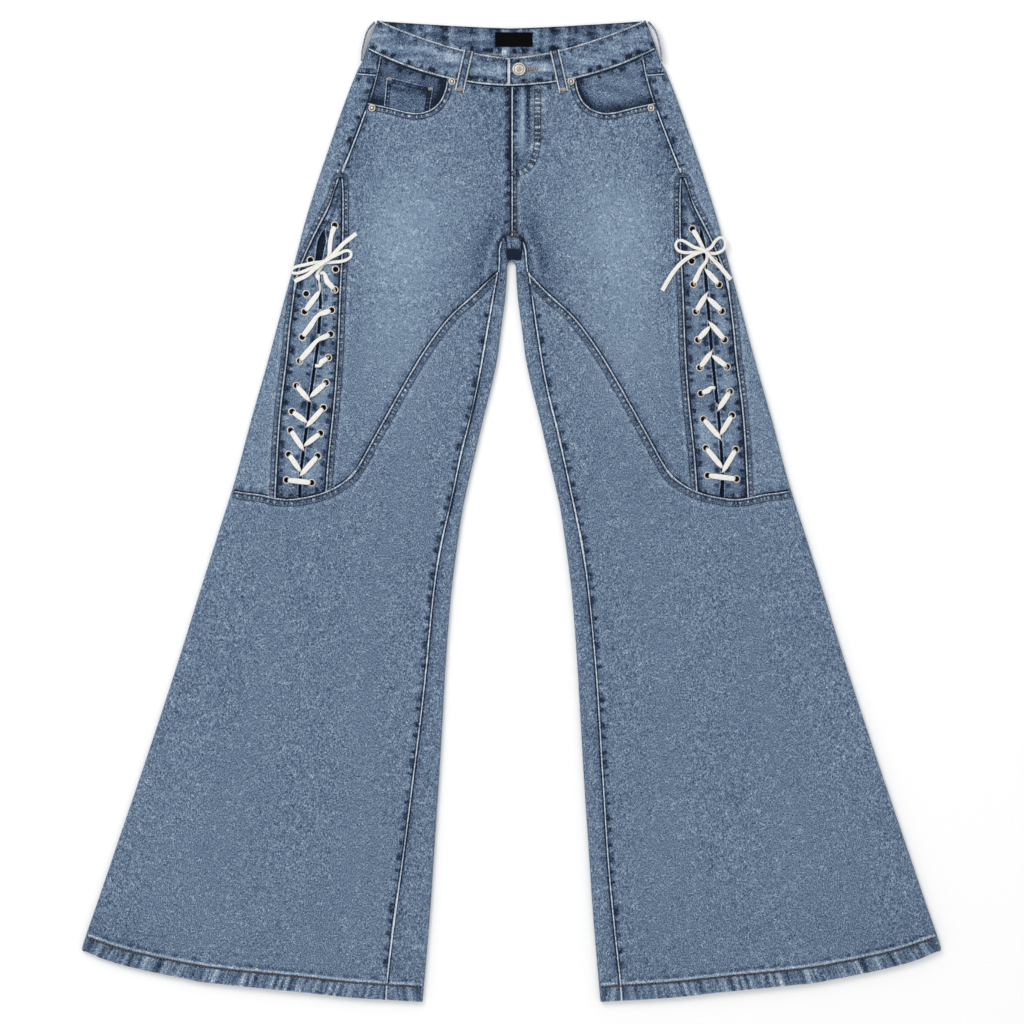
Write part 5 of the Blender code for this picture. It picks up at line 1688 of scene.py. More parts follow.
@dataclass
class Yoke(Half):
    """Yoke of one side, under the waistband at the back, showing at the side of the front."""

    def make(self) -> None:
        """Makes the yoke."""
        heights = ((510.4, BAND_SIDE_Y - 0.8), (500.0, 503.5), (YOKE_SIDE_Y, YOKE_SIDE_Y + 2.5))
        distances = np.array([OUTER.distance_at(fold_y) for _, fold_y in heights])
        vs = marks([6, 6], 0.08, 0.08)
        centres, normals = outer_fold(stretch(distances, vs))
        seam = Line([SIDE.point_at(y) for y, _ in heights]).at(vs)
        left = outer_fold(distances)[0]
        top = under(np.linspace(left[0][0], 0, SEAT_COLUMNS + 1), yoke_back_top)
        top[0] = left[0]
        bottom = yoke_seam_points(left[-1])
        plan = coons(left, np.linspace(top[-1], bottom[-1], 3), top, bottom, vs, marks([3] * SEAT_COLUMNS))
        plan[:, 0] = centres
        grid = Grid.joined((front_layer(strip_between(seam, centres, np.linspace(0, 1, 9))), True),
                           (fold_block(centres, normals, FOLD_DOWN), False), (back_layer(plan), False))
        tracks = [Track(np.stack([seam[-1], centres[-1]]), 7.2, 1.0, 0.6, 0.3),
                  Track(np.stack([seam[0], centres[0]]), 0.0, -1.0, 0.5), Track(seam, 0.0, -1.0, 0.4)]
        piece = self.cloth("yoke", "back_yoke", grid, tracks, (0.19, 0.075), inner_tone=0.22, creased=False)
        piece.fit(self.wardrobe.denim, "folded", "floor")


@dataclass
class LowerLeg(Half):
    """Front and back of one lower leg, below the curved seam."""

    knee_band: float = 8.4

    ROWS = marks([13] * (LEG_ROWS - 1) + [1, 11], 0.0125, 0.0)
    HEM_WALL = np.where(ROWS >= LEG_ROWS - 0.001, HEM_EXTRA, 0.0)

    def inseam_rows(self) -> Array:
        """How far down the inseam each coarse row lies."""
        return leg_distances(INSEAM_START[self.side], INSEAMS[self.side].length)

    def inseam_track(self, edge: float, pucker: float) -> Track:
        """The inseam as a seam track."""
        curve = INSEAMS[self.side]
        return Track(curve.at(np.linspace(INSEAM_START[self.side], curve.length, 300)), 0.0, edge, pucker)

    def front(self) -> None:
        """The front, from under the outer fold to the inseam."""
        lefts = leg_distances(OUTER_KNEE, OUTER.length)
        left, right = outer_fold(lefts)[0], INSEAMS[self.side].at(self.inseam_rows())
        top = knee_points(self.side)
        top[0] = left[0]
        bottom = hem_points(left[-1], right[-1], len(top) - 1)
        us = marks([2] * 6 + [4] * (len(top) - 7), 0.0, 0.07)
        plan = coons(left, right, top, bottom, self.ROWS, us)
        centres, normals = outer_fold(stretch(lefts, self.ROWS))
        plan[:, 0] = centres
        bend = fold_block(centres, normals, -np.array([90.0, *FOLD_DOWN]), extra=self.HEM_WALL)
        grid = Grid.joined((bend, False), (front_layer(plan, self.HEM_WALL[:, None]), True))
        tracks = [Track(dense(knee_table(self.side)), self.knee_band, 1.0, 0.8, 0.35),
                  self.inseam_track(0.9, 0.8), Track(dense(HEM), HEM_DEPTH - 0.6, 0.0, 0.9)]
        piece = self.cloth("leg_front", "front_leg", grid, tracks, (0.37, 0.83), inner_tone=-0.3,
                           extra_tone=self.hem_end)
        piece.fit(self.wardrobe.denim, "laid", f"back_leg_{self.word}")

    def hem_end(self, x: Array, y: Array) -> Array:
        """Tone of the inseam's rubbed edge and the painted shade beside it, carried on through the hem.

        Args:
            x: Half widths.
            y: Heights.
        Returns:
            The change of tone.
        """
        off = x - INSEAMS[self.side].x_at(y)
        folded = np.maximum(smoothstep(-529, -532, y), smoothstep(253, 256, y))
        # The 1.2 term lights the rubbed edge; the -0.35 term beside it is painted shade.
        return folded * (1.2 * hump(off, 0, 1.1) - 0.35 * hump(off, 2.8, 1.2))

    def back(self) -> None:
        """The back, flat underneath, round the inner fold and up to the inseam."""
        inners = leg_distances(fork_distances()[-1], INNER.length)
        left, right = outer_fold(leg_distances(OUTER_KNEE, OUTER.length))[0], inner_fold(inners)[0]
        bottom = hem_points(left[-1], right[-1], SEAT_COLUMNS)
        plan = coons(left, right, back_knee_points(), bottom, self.ROWS, marks([2] * SEAT_COLUMNS))
        centres, normals = inner_fold(stretch(inners, self.ROWS))
        plan[:, -1] = centres
        inseam = INSEAMS[self.side].at(stretch(self.inseam_rows(), self.ROWS))
        shares = np.array([0, 0.15, 0.3, 0.45, 0.6, 0.72, 0.82, 0.9, 0.96, 1.0])
        grid = Grid.joined((back_layer(plan, self.HEM_WALL[:, None]), False),
                           (fold_block(centres, normals, -FOLD_DOWN, extra=self.HEM_WALL), False),
                           (front_layer(strip_between(centres, inseam, shares), self.HEM_WALL[:, None]), True))
        tracks = [self.inseam_track(-0.9, 0.15), Track(dense(HEM[:-3:-1]), HEM_DEPTH - 0.6, 0.0, 0.9),
                  Track(np.stack([centres[0], inseam[0]]), 0.0, -0.1, 0.3)]
        piece = self.cloth("leg_back", "back_leg", grid, tracks, (0.43, 0.83), inner_tone=-0.3, creased=False)
        piece.fit(self.wardrobe.denim, "folded", "floor")

    def make(self) -> None:
        """Makes the front and the back."""
        self.front()
        self.back()


@dataclass
class LacedGore(Half):
    """The two pierced strips of one side's gore, their eyelet rings and the lace."""

    SHARES = np.array([0, 0.05, 0.12, 0.22, 0.35, 0.5, 0.65, 0.78, 0.88, 0.95, 1.0])

    def strip(self, which: str) -> None:
        """One strip, from its long seam to the slit.

        Args:
            which: "front" or "back".
        """
        table, toward = (GORE_FRONT, -1) if which == "front" else (GORE_BACK, 1)
        seam, vs = Line(gore_points(table)), marks([7] * GORE_ROWS)
        first, *_, last = SLIT[self.side]
        y = first.y + (last.y - first.y) * vs / GORE_ROWS
        width = slit_at(self.side, y, "width")
        edge = np.stack([slit_at(self.side, y) + toward * width / 2, y], axis=1)
        end_y = np.interp(-edge[-1, 0], -KNEE.dense[:, 0], KNEE.dense[:, 1])
        edge[:, 1] += (end_y - edge[-1, 1]) * smoothstep(GORE_ROWS - 1, GORE_ROWS, vs)
        grid = Grid.joined((front_layer(strip_between(seam.at(vs), edge, self.SHARES)), True))
        tracks = [Track(seam.at(np.linspace(0, GORE_ROWS, 120)), 0.0, -1.1, 0.9),
                  Track(edge[width > 0.1], 0.0, 0.28, 0.9), Track(edge[width <= 0.1], 0.0, -0.6, 0.8),
                  Track(dense(KNEE_SEAM[3:8]), 0.0, -1.0, 0.8)]
        piece = self.cloth(f"gore_{which}", f"lace_strip_{which}", grid, tracks, (0.034, 0.355), Slot.SHADED,
                           toned=False, extra_tone=self.shade, extra_lift=self.ruffle)
        piece.fit(self.wardrobe.shaded, "laid", f"back_panel_{self.word}", holes=EYELETS[self.side, which])

    def shade(self, x: Array, y: Array) -> Array:
        """Painted shade beside the opening and the long seams, light and dark stripes painted for small folds
        by the opening, darker cloth round the foot of the gore, paler at its tip.

        Args:
            x: Half widths.
            y: Heights.
        Returns:
            The change of tone.
        """
        off = np.abs(x - slit_at(self.side, y))
        edges = [np.abs(x - Curve(table).x_at(y)) for table in (GORE_FRONT, GORE_BACK)]
        rim = np.minimum.reduce([*edges, off * 1.4 + 20 * smoothstep(312, 322, y)])
        # mid paints shade within a few millimetres of the long seams and the opening; folds paints light and
        # dark stripes for small folds.
        mid = 0.07 * smoothstep(3, 11, rim) - 0.09 * (1 - smoothstep(1, 6, rim))
        folds = 0.05 * np.sin((y + 0.9 * off) / 5.2) * smoothstep(14, 3, off)
        top = 0.14 * smoothstep(326, 350, y) - 0.08 * smoothstep(285, 305, y) * smoothstep(338, 322, y)
        return mid + folds + top - 0.08 * (1 - smoothstep(20, 45, y))

    def ruffle(self, x: Array, y: Array) -> Array:
        """Small waves where the lace draws the cloth."""
        waves = 0.22 * np.sin(y / 4.6 + 0.4 * self.side)
        return waves * smoothstep(192, 205, x) * (1 - smoothstep(244, 256, x))

    def tori(self, which: str, major: float, minor: float, flat: float) -> list[Object]:
        """Args:
            which: "front" or "back".
            major: Radius of the ring.
            minor: Radius of its section.
            flat: How far the section is flattened.
        Returns:
            One ring for each eyelet, the first modelled and the others copied.
        """
        clear_selection()
        bpy.ops.mesh.primitive_torus_add(major_segments=28, minor_segments=8, major_radius=major * MM,
                                         minor_radius=minor * MM)
        first = bpy.context.active_object
        bpy.ops.object.mode_set(mode="EDIT")
        bpy.ops.mesh.select_all(action="SELECT")
        bpy.ops.transform.resize(value=(1, 1, flat))
        bpy.ops.object.mode_set(mode="OBJECT")
        eyelets = EYELETS[self.side, which]
        made = [first] + [link("ring", first.data.copy()) for _ in eyelets[1:]]
        for ring, eyelet in zip(made, eyelets):
            spot = (eyelet.x * self.side, eyelet.y, FRONT_OUT + float(swell(*eyelet)) + 0.02)
            ring.data.transform(Matrix.Translation([v * MM for v in spot]))
        return made

    def lace(self) -> None:
        """Makes the lace, one free tape from tail to tail."""
        nodes = refined(LaceRoute(self.side).nodes(), 4)
        obj = ribbon(f"tape_{self.word}", nodes)
        settle(obj, self.wardrobe.tape, Slot.LACE, f"lace_{self.word}")

    def make(self) -> None:
        """Makes the strips, their rings (each a pale rim round a dark ring of painted shade at the hole's edge)
        and the lace.
        """
        for which in ("front", "back"):
            self.strip(which)
            trim(self.tori(which, 3.75, 0.5, 0.55), f"eyelets_{which}_{self.word}", self.wardrobe.ring)
            # Dark rings of painted shade at the edge of each eyelet hole.
            trim(self.tori(which, 2.95, 0.45, 0.9), f"eyelet_shade_rings_{which}_{self.word}", self.wardrobe.bronze)
        self.lace()


class LaceRoute:
    """The line of one lace as (point, width direction, width, thickness) nodes."""

    HOLE_SHIFT = 1.7
    # Reach from the spot, below it where negative; height; share of the cloth's lift; width.
    HOLE_STEPS = ((4.4, TAPE_OVER, 1, 5.6), (1.9, TAPE_OVER - 0.1, 1, 5.2), (0.5, FRONT_OUT + 0.55, 1, 3.8),
                  (0, FRONT_OUT - 0.3, 1, 3.1), (0, FRONT_IN + 0.1, 1, 3.0),
                  (-0.9, TAPE_UNDER + 0.25, 0.5, 3.2), (-3.6, TAPE_UNDER, 0, 3.4))
    TURN_STEPS = ((4.4, TAPE_OVER, 1, 3.6), (1.9, TAPE_OVER - 0.1, 1, 3.2), *HOLE_STEPS[2:])
    SLIT_STEPS = ((6.0, TAPE_OVER, 1, 5.4), (2.6, TAPE_OVER - 0.2, 1, 3.6), (0.8, FRONT_OUT + 0.2, 1, 2.2),
                  (-0.9, TAPE_UNDER + 0.7, 0.5, 2.2), (-3.5, TAPE_UNDER, 0, 3.2))

    def __init__(self, side: int) -> None:
        """Args:
            side: Which leg.
        """
        self.side = side
        self.made: list[Node] = []

    def add(self, spot: Sequence[float], z: float, across: Sequence[float], width: float) -> None:
        """Args:
            spot: Plan point of the node.
            z: Its height over the surface.
            across: Plan direction of the tape's width.
            width: Width there.
        """
        turned = np.array([across[0] * self.side, across[1], 0.0])
        if self.made and self.made[-1][1].dot(turned) < 0:
            turned = -turned
        self.made.append((np.array([spot[0] * self.side, spot[1], z]), turned, width, TAPE))

    def free_end(self, passes: Sequence[Pass]) -> None:
        """Adds a bow's passes in order."""
        for before, p, after in zip([passes[0], *passes], passes, [*passes[1:], passes[-1]]):
            self.add((p.x, p.y), p.z, (before.y - after.y, after.x - before.x), p.width)

    def dip(self, spot: Array, arrive: Array, leave: Array, over: bool, steps: Sequence[tuple],
            shift: float = 0.0, across: Sequence[float] | None = None) -> None:
        """Down through the cloth when it arrives on top, up through it otherwise.

        Args:
            spot: Where it passes the cloth.
            arrive: Direction before it.
            leave: Direction after it.
            over: Whether it arrives on top.
            steps: Its nodes from the top down.
            shift: How far the way down is drawn towards the top side.
            across: Width direction, or None for square to the path.
        """
        lift = float(swell(*spot))
        top, below = (-arrive, leave) if over else (leave, -arrive)
        start = spot + top * shift
        for reach, height, share, width in steps if over else steps[::-1]:
            heading = top if reach >= 0 else below
            self.add(start + heading * abs(reach), height + lift * share, across or square(heading), width)

    def spot(self, step: tuple[str, object]) -> Array:
        """Args:
            step: One step of the lacing.
        Returns:
            Its plan point.
        """
        kind, value = step
        if kind in ("front", "back"):
            value = EYELETS[self.side, kind][value]
        elif kind == "slit":
            value = (slit_at(self.side, value), value)
        return np.array(value, float)

    def nodes(self) -> list[Node]:
        """Returns:
            All nodes, from the tip of one tail to the tip of the other.
        """
        first, second, steps = BOWS[self.side, "first"], BOWS[self.side, "second"], LACING[self.side]
        self.free_end(first)
        spots = [np.array(first[-1][:2]), *map(self.spot, steps), np.array(second[-1][:2])]
        over = True
        for (kind, _), before, spot, after in zip(steps, spots, spots[1:], spots[2:]):
            arrive, leave = unit(spot - before), unit(after - spot)
            if kind == "by":
                self.add(spot, TAPE_UNDER, square(leave), TAPE_THROUGH_WIDTH)
                continue
            if over and before is not spots[0]:
                middle = (before + spot) / 2
                self.add(middle, TAPE_OVER + float(swell(*middle)), square(spot - before), TAPE_ARM_WIDTH)
            if kind == "dent":
                self.add(spot, TAPE_OVER - 0.3 + float(swell(*spot)), square(arrive + leave), 4.0)
                continue
            if kind == "turn":
                toward = np.array([np.sign(spot[0] - before[0]), 0.0])
                self.dip(spot, toward, -toward, over, self.TURN_STEPS, across=(0, 1))
            elif kind == "slit":
                self.dip(spot, arrive, leave, over, self.SLIT_STEPS)
            else:
                self.dip(spot, arrive, leave, over, self.HOLE_STEPS, self.HOLE_SHIFT)
            over = not over
        self.free_end(second[::-1])
        return self.made


@dataclass
class Pocket(Half):
    """The mouth of one front pocket: its facing and, on the wearer's right, the coin pocket."""

    def make(self) -> None:
        """Makes the facing and the coin pocket."""
        top = under(np.linspace(48, 147.5, 7), band_bottom) - (0, 0.6)
        edge = Curve(FACING_EDGE)
        bottom = edge.spread(0, edge.length, 6)
        right = [SIDE.point_at(y) for y in np.linspace(top[-1][1], FACING_EDGE[-1].y, 5)]
        right[0], bottom[-1] = top[-1], right[-1]
        plan = coons(np.linspace(top[0], bottom[0], 5), right, top, bottom, marks([4] * 4), marks([6] * 6))
        tracks = [Track(dense(top), 0.0, -1.0, 0.7), Track(dense(right), 0.0, 0.9, 0.5)]
        grid = Grid.joined((layer(plan, FACING_IN, FACING_OUT), True))
        piece = self.cloth("facing", "pocket_facing", grid, tracks, (0.12, 0.085), Slot.SHADED, creased=False,
                           toned=False, extra_tone=self.shade)
        piece.fit(self.wardrobe.denim, "laid", f"back_panel_{self.word}")
        if self.side < 0:
            self.coin()

    def shade(self, x: Array, y: Array) -> Array:
        """Painted shade in the pocket's mouth, deepest towards the scoop's edge and in its corner there, with
        light and dark stripes painted for small folds.

        Args:
            x: Half widths.
            y: Heights.
        Returns:
            The change of tone.
        """
        scoop = dense(SCOOP)
        above = y - np.interp(x, scoop[::-1, 0], scoop[::-1, 1])
        base, depth = (-0.17, 0.46) if self.side < 0 else (-0.05, 0.40)
        corner = -0.30 * hump(x, 78, 9.0) * (1 - smoothstep(8, 34, above))
        folds = 0.07 * np.sin((y + 0.25 * x) / 3.1) * hump(x, 118, 22.0)
        return base - depth * (1 - smoothstep(0, 17, above)) ** 1.3 + corner + folds

    @staticmethod
    def coin_shade(x: Array, y: Array) -> Array:
        """Painted shade of a fold across the coin pocket and of its corner by the scoop, and the whole pocket a
        little darker.
        """
        fold = -0.24 * hump(y, 468 + (x - 87) * 0.12, 3.2) * smoothstep(90, 100, x) * smoothstep(142, 134, x)
        return fold - 0.26 * hump(x, 91, 7.0) - 0.13

    def coin(self) -> None:
        """Makes the coin pocket."""
        scoop = Curve(SCOOP)
        heads, xs = np.linspace(*COIN_TOP, 25), np.linspace(*COIN_BOTTOM_X, 25)
        feet = np.stack([xs, np.interp(-xs, -scoop.dense[:, 0], scoop.dense[:, 1]) + 2 * SEAM_GAP], axis=1)
        plan = strip_between(heads, feet, np.linspace(0, 1, 15))
        low = FACING_OUT + SEAM_GAP
        tracks = [Track(heads, 5.6, 0.6, 0.4, 0.12), Track(plan[0], 5.6, 0.9, 0.8, 0.1),
                  Track(plan[-1], 5.6, 0.9, 0.8, 0.1)]
        grid = Grid.joined((layer(plan, low, low + COIN_CLOTH), True))
        piece = Piece("coin", -1, grid, tracks, "coin_pocket", (0.054, 0.04), creased=False, toned=False,
                      extra_tone=self.coin_shade)
        piece.fit(self.wardrobe.denim, "laid", "pocket_facing_right")


@dataclass
class Lathe:
    """Turned metal parts round one upright axis."""

    x: float
    y: float
    floor: float

    def spot(self, z: float) -> list[float]:
        """The axis at a height over the cloth, in metres."""
        return [v * MM for v in (self.x, self.y, self.floor + z)]

    def disc(self, radius: float, height: float, z: float) -> Object:
        """Args:
            radius: Its radius.
            height: Its thickness.
            z: Its middle's height over the cloth.
        Returns:
            A disc with a rounded edge.
        """
        clear_selection()
        bpy.ops.mesh.primitive_cylinder_add(vertices=48, radius=radius * MM, depth=height * MM,
                                            location=self.spot(z))
        obj = bpy.context.active_object
        bevel = obj.modifiers.new("edge", "BEVEL")
        bevel.width = min(0.4, 0.4 * height) * MM
        bevel.segments = 3
        bpy.ops.object.modifier_apply(modifier=bevel.name)
        return obj

    def ring(self, major: float, minor: float, z: float) -> Object:
        """Args:
            major: Radius of the ring.
            minor: Radius of its section.
            z: Its height over the cloth.
        Returns:
            The ring.
        """
        clear_selection()
        bpy.ops.mesh.primitive_torus_add(major_segments=40, minor_segments=8, major_radius=major * MM,
                                         minor_radius=minor * MM, location=self.spot(z))
        obj = bpy.context.active_object
        obj.scale = (1.0, 1.0, 0.8)
        return obj


@dataclass
class Rivets(Half):
    """The rivets at the ends of one pocket's mouth."""

    def make(self) -> None:
        """Makes both, each with a dark groove."""
        for k, spot in enumerate(RIVETS, 1):
            lathe = Lathe(spot.x * self.side, spot.y, FRONT_OUT + SEAM_GAP)
            trim([lathe.disc(3.9, 0.8, 0.4), lathe.ring(3.3, 0.6, 0.75), lathe.disc(1.3, 0.5, 0.95)],
                 f"stud_{self.word}_{k}", self.wardrobe.metal, f"rivet_{self.word}_{k}")
            trim([lathe.ring(2.05, 0.5, 0.72)], f"stud_groove_{self.word}_{k}", self.wardrobe.bronze)


def band_lift(x: Array) -> Array:
    """How far the band's overlapping end is lifted by the end under it, at half widths."""
    return OVERLAP_LIFT * (1 - smoothstep(UNDERLAP + 2, UNDERLAP + 17, x))


def loop_spine(side: int, base: float) -> Array:
    """Args:
        side: Which half.
        base: Height that its rises are over.
    Returns:
        Points of a front belt loop, from its top down.
    """
    top = np.array([48.0 * side, band_top(48) + 0.5, base])
    foot = np.array([58.5 * side, band_bottom(58) - 12.5, base])
    shares, rises = np.array(LOOP_RISES).T
    points = top + (foot - top) * shares[:, None]
    points[:, 2] += rises
    return points


@dataclass
class Waist:
    """Waistband, fly shield, label, belt loops and button."""

    wardrobe: Wardrobe
    back_middle: float = 541.0

    def __post_init__(self) -> None:
        """Finds the axis of the band's fold at the side."""
        top, bottom = OUTER.at(0), OUTER.at(OUTER.distance_at(BAND_SIDE_Y))
        self.normal = square(unit(bottom - top))
        self.fold_top, self.fold_bottom = top - self.normal * FOLD_OUT, bottom - self.normal * FOLD_OUT

    def shield(self) -> None:
        """Makes the fly shield, which shows as the layer under the fly's edge."""
        ys = np.linspace(CENTRE_BAND_BOTTOM - 1, 366, 25)
        ends = (np.stack([x, ys], axis=1) for x in (np.full(25, -5.0), np.where(ys > 380, 30.0, 20.0)))
        plan = strip_between(*ends, np.linspace(0, 1, 12))
        piece = Piece("shield", 1, Grid.joined((layer(plan, FACING_IN, FACING_OUT), True)),
                      [Track(plan[:, 0], 0.0, 0.3, 0.3)], "fly_shield", (0.035, 0.11), tone=-0.2, creased=False,
                      toned=False)
        piece.fit(self.wardrobe.denim, "laid", "back_panel_right", "back_panel_left")

    def front(self, side: int, xs: Array) -> Array:
        """Args:
            side: Which half.
            xs: Half widths of its columns at the top edge.
        Returns:
            Nodes of the band's front, its end on the wearer's left lifted.
        """
        flare = xs / self.fold_top[0]
        top = under(xs, band_top)
        bottom = under(xs + (self.fold_bottom[0] - self.fold_top[0]) * np.maximum(flare, 0), band_bottom)
        top[flare > 0.999], bottom[flare > 0.999] = self.fold_top, self.fold_bottom
        lift = band_lift(xs) if side > 0 else 0.0
        plan = top + (bottom - top) * BAND_SHARES[:, None, None]
        return layer(plan, FRONT_OUT - BAND_CLOTH + lift, FRONT_OUT + lift) * (side, 1, 1)

    def fold(self, side: int, angles: Sequence[float]) -> Array:
        """Nodes of the band's fold on one side, at angles round it."""
        line = self.fold_top + (self.fold_bottom - self.fold_top) * BAND_SHARES[:, None]
        return fold_block(line, np.broadcast_to(self.normal, line.shape), angles, BAND_CLOTH) * (side, 1, 1)

    def back_top(self, x: Array) -> Array:
        """Heights of the band's top edge at the back, at half widths."""
        return self.back_middle + (self.fold_top[1] - self.back_middle) * (np.abs(x) / self.fold_top[0]) ** 1.3

    def band(self) -> None:
        """Makes the waistband, one ring from its end under the button to the one over it."""
        side_x = self.fold_top[0]
        xs = np.linspace(0, 1, 45) * side_x
        back_xs = np.linspace(-side_x, side_x, 65)[1:-1]
        top = under(back_xs, self.back_top)
        bottom = under(back_xs * self.fold_bottom[0] / side_x, yoke_back_top)
        back = layer(top + (bottom - top) * BAND_SHARES[:, None, None], BAND_CLOTH, 0.0)
        grid = Grid.joined((self.front(-1, np.append(np.linspace(-UNDERLAP, 0, 8)[:-1], xs)), True),
                           (self.fold(-1, (*FOLD_DOWN, -90.0)), False), (back, False),
                           (self.fold(1, (-90.0, *FOLD_DOWN[::-1])), False),
                           (self.front(1, np.append(xs[:0:-1], (1.5, 0.0, -1.0, -2.0, -OVERLAP))), True))
        half = np.linspace(-152, 152, 120)
        over_end = np.array([(-OVERLAP, band_top(OVERLAP)), (-OVERLAP, band_bottom(OVERLAP))])
        tracks = [Track(under(half, band_top), 0.0, 0.7, 0.6),
                  Track(under(half * 1.07, band_bottom), 0.0, 0.75, 1.1), Track(over_end, 0.0, 1.1, 0.5)]
        back_tracks = [Track(under(half, self.back_top), 0.0, -0.5, 0.5),
                       Track(under(half, yoke_back_top) + (0, 3.0), 0.0, 0.0, 1.3)]
        piece = Piece("band", 1, grid, tracks, "waistband", (0.72, 0.045), inner_tone=-0.13, creased=False,
                      toned=False, back_tracks=back_tracks, extra_tone=self.tone)
        piece.fit(self.wardrobe.belt, "folded", "floor")

    @staticmethod
    def tone(x: Array, y: Array) -> Array:
        """Tone of the band, its middle lighter from wear at the front."""
        return 0.05 * hump(y, (band_top(x) + band_bottom(x)) / 2, 8.0) - 0.02

    def label(self) -> None:
        """Makes the bare label, a little wavy."""
        a, b = LABEL
        low = BAND_CLOTH + SEAM_GAP
        plan = np.stack(np.meshgrid(np.linspace(a.x, b.x, 22), np.linspace(b.y, a.y, 10)), axis=-1)
        nodes = layer(plan, low, low + 0.6)
        x, y = plan[..., 0], (plan[..., 1] - a.y) / (b.y - a.y)
        nodes[..., 2] += (0.12 * np.sin(x / 5.5) * np.sin(y * math.pi))[..., None]
        piece = Piece("label", 1, Grid.joined((nodes, False)), [Track(plan[0])], "neck_label", (0.0421, 0.0165),
                      Slot.LABEL, creased=False, toned=False)
        piece.fit(self.wardrobe.label, "laid", "waistband")

    def loop(self, name: str, nodes: Sequence[Node], split: int) -> None:
        """Args:
            name: Its place.
            nodes: Its line.
            split: Fine runs for each coarse one.
        """
        obj = ribbon(f"loop_{name}", refined(nodes, split))
        settle(obj, self.wardrobe.denim, Slot.DENIM, f"belt_loop_{name}")

    def loops(self) -> None:
        """Makes the belt loops."""
        for side, word in SIDES:
            spine = loop_spine(side, FRONT_OUT + SEAM_GAP + LOOP_CLOTH / 2)
            nodes = [(point, np.array([1.0, 0, 0]), LOOP_WIDTH, LOOP_CLOTH) for point in spine]
            self.loop(f"front_{word}", nodes, 8)
            upright = np.array([0, 0, 1.0])
            nodes = [(np.array([x * side, y, SIDE_LOOP_MID]), upright, SIDE_LOOP_WIDTH, LOOP_CLOTH)
                     for x, y in SIDE_LOOP]
            self.loop(f"side_{word}", nodes, 6)

    def button(self) -> None:
        """Makes the button, with its grooves."""
        lathe = Lathe(BUTTON.x, BUTTON.y, FRONT_OUT + OVERLAP_LIFT + SEAM_GAP)
        body = [lathe.disc(3.2, 1.4, 0.7), lathe.disc(7.1, 1.0, 1.7), lathe.ring(6.5, 0.75, 2.05),
                lathe.ring(4.1, 0.3, 2.2), lathe.disc(1.5, 0.5, 2.45)]
        trim(body, "button", self.wardrobe.metal, "waist_button")
        trim([lathe.ring(5.35, 0.3, 2.15), lathe.ring(2.3, 0.34, 2.2), lathe.disc(0.75, 0.3, 2.66)],
             "button_lines", self.wardrobe.bronze)

    def make(self) -> None:
        """Makes all of it."""
        self.band()
        self.shield()
        self.label()
        self.loops()
        self.button()


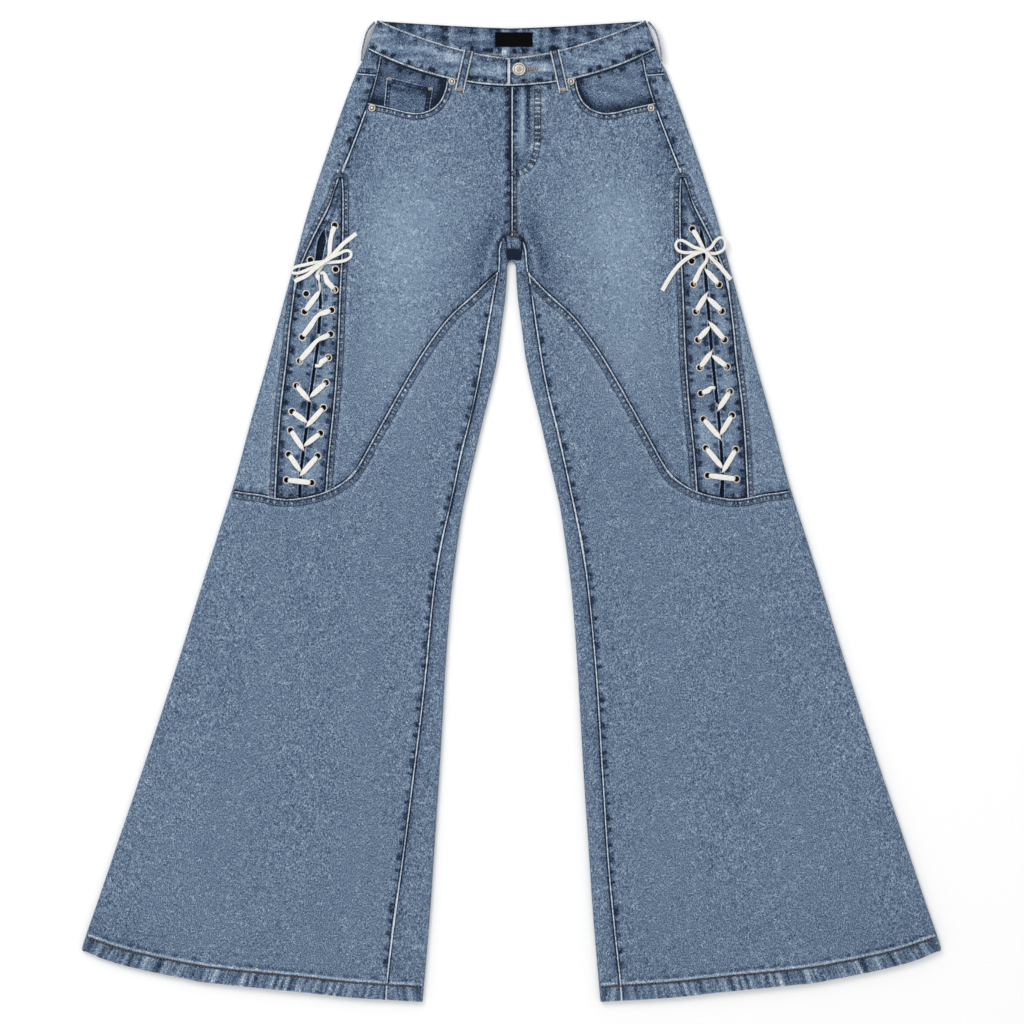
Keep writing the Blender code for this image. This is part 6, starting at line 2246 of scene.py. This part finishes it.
@dataclass
class Stitching:
    """Every visible row of sewing."""

    wardrobe: Wardrobe

    def seams(self) -> None:
        """Sews both hems, then the double rows along the curved seams, the gores and the scoops."""
        for side, word in SIDES:
            sewing = Sewing(f"stitches_hem_{word}", self.wardrobe.brown, 0.95, 3.0, 0.7)
            line = offset_line(dense(HEM), 0.8 - HEM_DEPTH)
            line = line[(line[:, 0] > 101) & (line[:, 0] < 478)]
            sewing.run(lay(line, side, HEM_EXTRA + 0.12, True))
            sewing.make()
        for side, word in SIDES:
            sewing = Sewing(f"stitches_seams_{word}", self.wardrobe.blue, 0.4, 2.6, 0.9)
            lines = [(knee_table(side), away, 0.36) for away in (1.9, 7.4)]
            for away in (1.7, 6.0):
                lines += [(GORE_FRONT, -away, 0.32), (GORE_BACK, away, 0.32),
                          (SCOOP[:-1] + [Point(72.8, 479.5)], away - 0.2, 0.36)]
            for table, away, above in lines:
                sewing.run(lay(offset_line(dense(table), away), side, above))
            sewing.make()

    def fly(self) -> None:
        """Sews the fly's two curved rows, the centre seam with its bartack, and the buttonhole."""
        sewing = Sewing("stitches_fly", self.wardrobe.brown, 0.5, 2.7, 0.8)
        for away in (-3.3, 3.3):
            sewing.run(lay(offset_line(dense(FLY_BAND), away), 1, 0.25))
        sewing.run(lay(dense(((5.7, 374.0), (5.6, 312.0))), 1, 0.15))
        for y in (306.5, 307.6, 311.6, 312.7):
            sewing.bar(-3.0, y, FRONT_OUT + 0.4, (11.0, 0.0), 10.5, 0.5)
        for x in (-2.6, 7.6):
            sewing.bar(x, 306.5, FRONT_OUT + 0.5, (0.0, 6.2), 6.0, 0.5)
        sewing.make()
        rows = (Sewing("stitches_buttonhole", self.wardrobe.tan, 0.6),
                Sewing("stitches_buttonhole_dark", self.wardrobe.brown, 0.6))
        for k in range(15):
            half = 2.7 - k / 14.4
            rows[k % 2].bar(15.6 + k, 493.6 + 0.12 * k - half, FRONT_OUT + OVERLAP_LIFT + 0.65, (0.6, 2 * half),
                            2 * half)
        for row in rows:
            row.make()

    def waist(self) -> None:
        """Sews the edges of the waistband, the coin pocket's bartacks and the loops."""
        sewing = Sewing("stitches_waist", self.wardrobe.tan, 0.34, 2.3, 0.9)
        xs = np.linspace(2, 146, 90)
        for side, _ in SIDES:
            z = FRONT_OUT + 0.16 + band_lift(xs) * (side > 0)
            for line in (band_top(xs) - 2.2, band_bottom(xs) + 2.0):
                sewing.run(np.stack([xs * side, line, z], axis=1))
        xs = np.linspace(-140, 140, 60)
        back = np.stack([xs, yoke_back_top(xs) + 3.0, np.full(len(xs), BAND_CLOTH + 0.1)], axis=1)
        sewing.run(back, 2.6, 0.8, 0.45)
        sewing.make()
        coin = Sewing("stitches_coin", self.wardrobe.tan, 0.4)
        for x, y in ((136.6, 484.0), (90.8, 472.8)):
            for k in range(5):
                coin.bar(2.0 - x - k, y - 2.0, FACING_OUT + SEAM_GAP + COIN_CLOTH + 0.1, (0.0, 4.0), 4.0)
        coin.make()
        tacks = Sewing("stitches_loops", self.wardrobe.tan, 0.42, 2.2, 0.7)
        base = FRONT_OUT + SEAM_GAP + LOOP_CLOTH + 0.05
        for side, _ in SIDES:
            spine = loop_spine(side, base)
            for across in (-3.9, 3.9):
                tacks.run(spine + (across, 0, 0))
            for k in range(4):
                x, y, _ = spine[-1] + (spine[0] - spine[-1]) * (0.03 + 0.018 * k)
                tacks.bar(x - 4.4, y, base + 0.25, (8.8, 0.0), 8.8, 0.45)
        tacks.make()

    def make(self) -> None:
        """Sews everything."""
        self.seams()
        self.fly()
        self.waist()


@dataclass
class Studio:
    """Floor, light and camera."""

    camera_height: float = 3.19
    lens: float = 100.0

    def make(self) -> None:
        """Sets the stage and the camera straight above the cloth."""
        clear_selection()
        bpy.ops.mesh.primitive_plane_add(size=9.0, location=(0, 0, -0.0012))
        floor = bpy.context.active_object
        floor.name = "floor"
        dress(floor, FloorFinish("floor_pale").make())
        scene = bpy.context.scene
        scene.world = bpy.data.worlds.new("studio")
        scene.world.use_nodes = True
        background = scene.world.node_tree.nodes["Background"]
        background.inputs["Color"].default_value = (1, 1, 1, 1)
        background.inputs["Strength"].default_value = 0.88
        light = bpy.data.lights.new("key", "AREA")
        light.shape = "DISK"
        light.size = 1.6
        light.energy = 36.0
        key = bpy.data.objects.new("key", light)
        scene.collection.objects.link(key)
        key.location = (-1.5, 1.7, 2.4)
        key.rotation_mode = "QUATERNION"
        key.rotation_quaternion = (-key.location.normalized()).to_track_quat("-Z", "Y")
        data = bpy.data.cameras.new("camera")
        data.lens = self.lens
        data.sensor_width = 36.0
        data.dof.use_dof = False
        camera = bpy.data.objects.new("camera", data)
        camera.location = (0.00056, -0.00112, self.camera_height)
        scene.collection.objects.link(camera)
        scene.camera = camera
        scene.view_settings.view_transform = "Standard"


def main() -> None:
    """Builds the garment's looks, piece by piece."""
    logging.basicConfig(level=logging.INFO, format="%(name)s: %(message)s")
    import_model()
    wardrobe = Wardrobe()
    for side, word in SIDES:
        for kind in (HipFront, Seat, Yoke, LowerLeg, Pocket, LacedGore, Rivets):
            kind(side, word, wardrobe).make()
            LOG.info("%s %s is in", word, kind.__name__)
    for kind in (Waist, Stitching):
        kind(wardrobe).make()
        LOG.info("%s is in", kind.__name__)
    Studio().make()


if __name__ == "__main__":
    main()
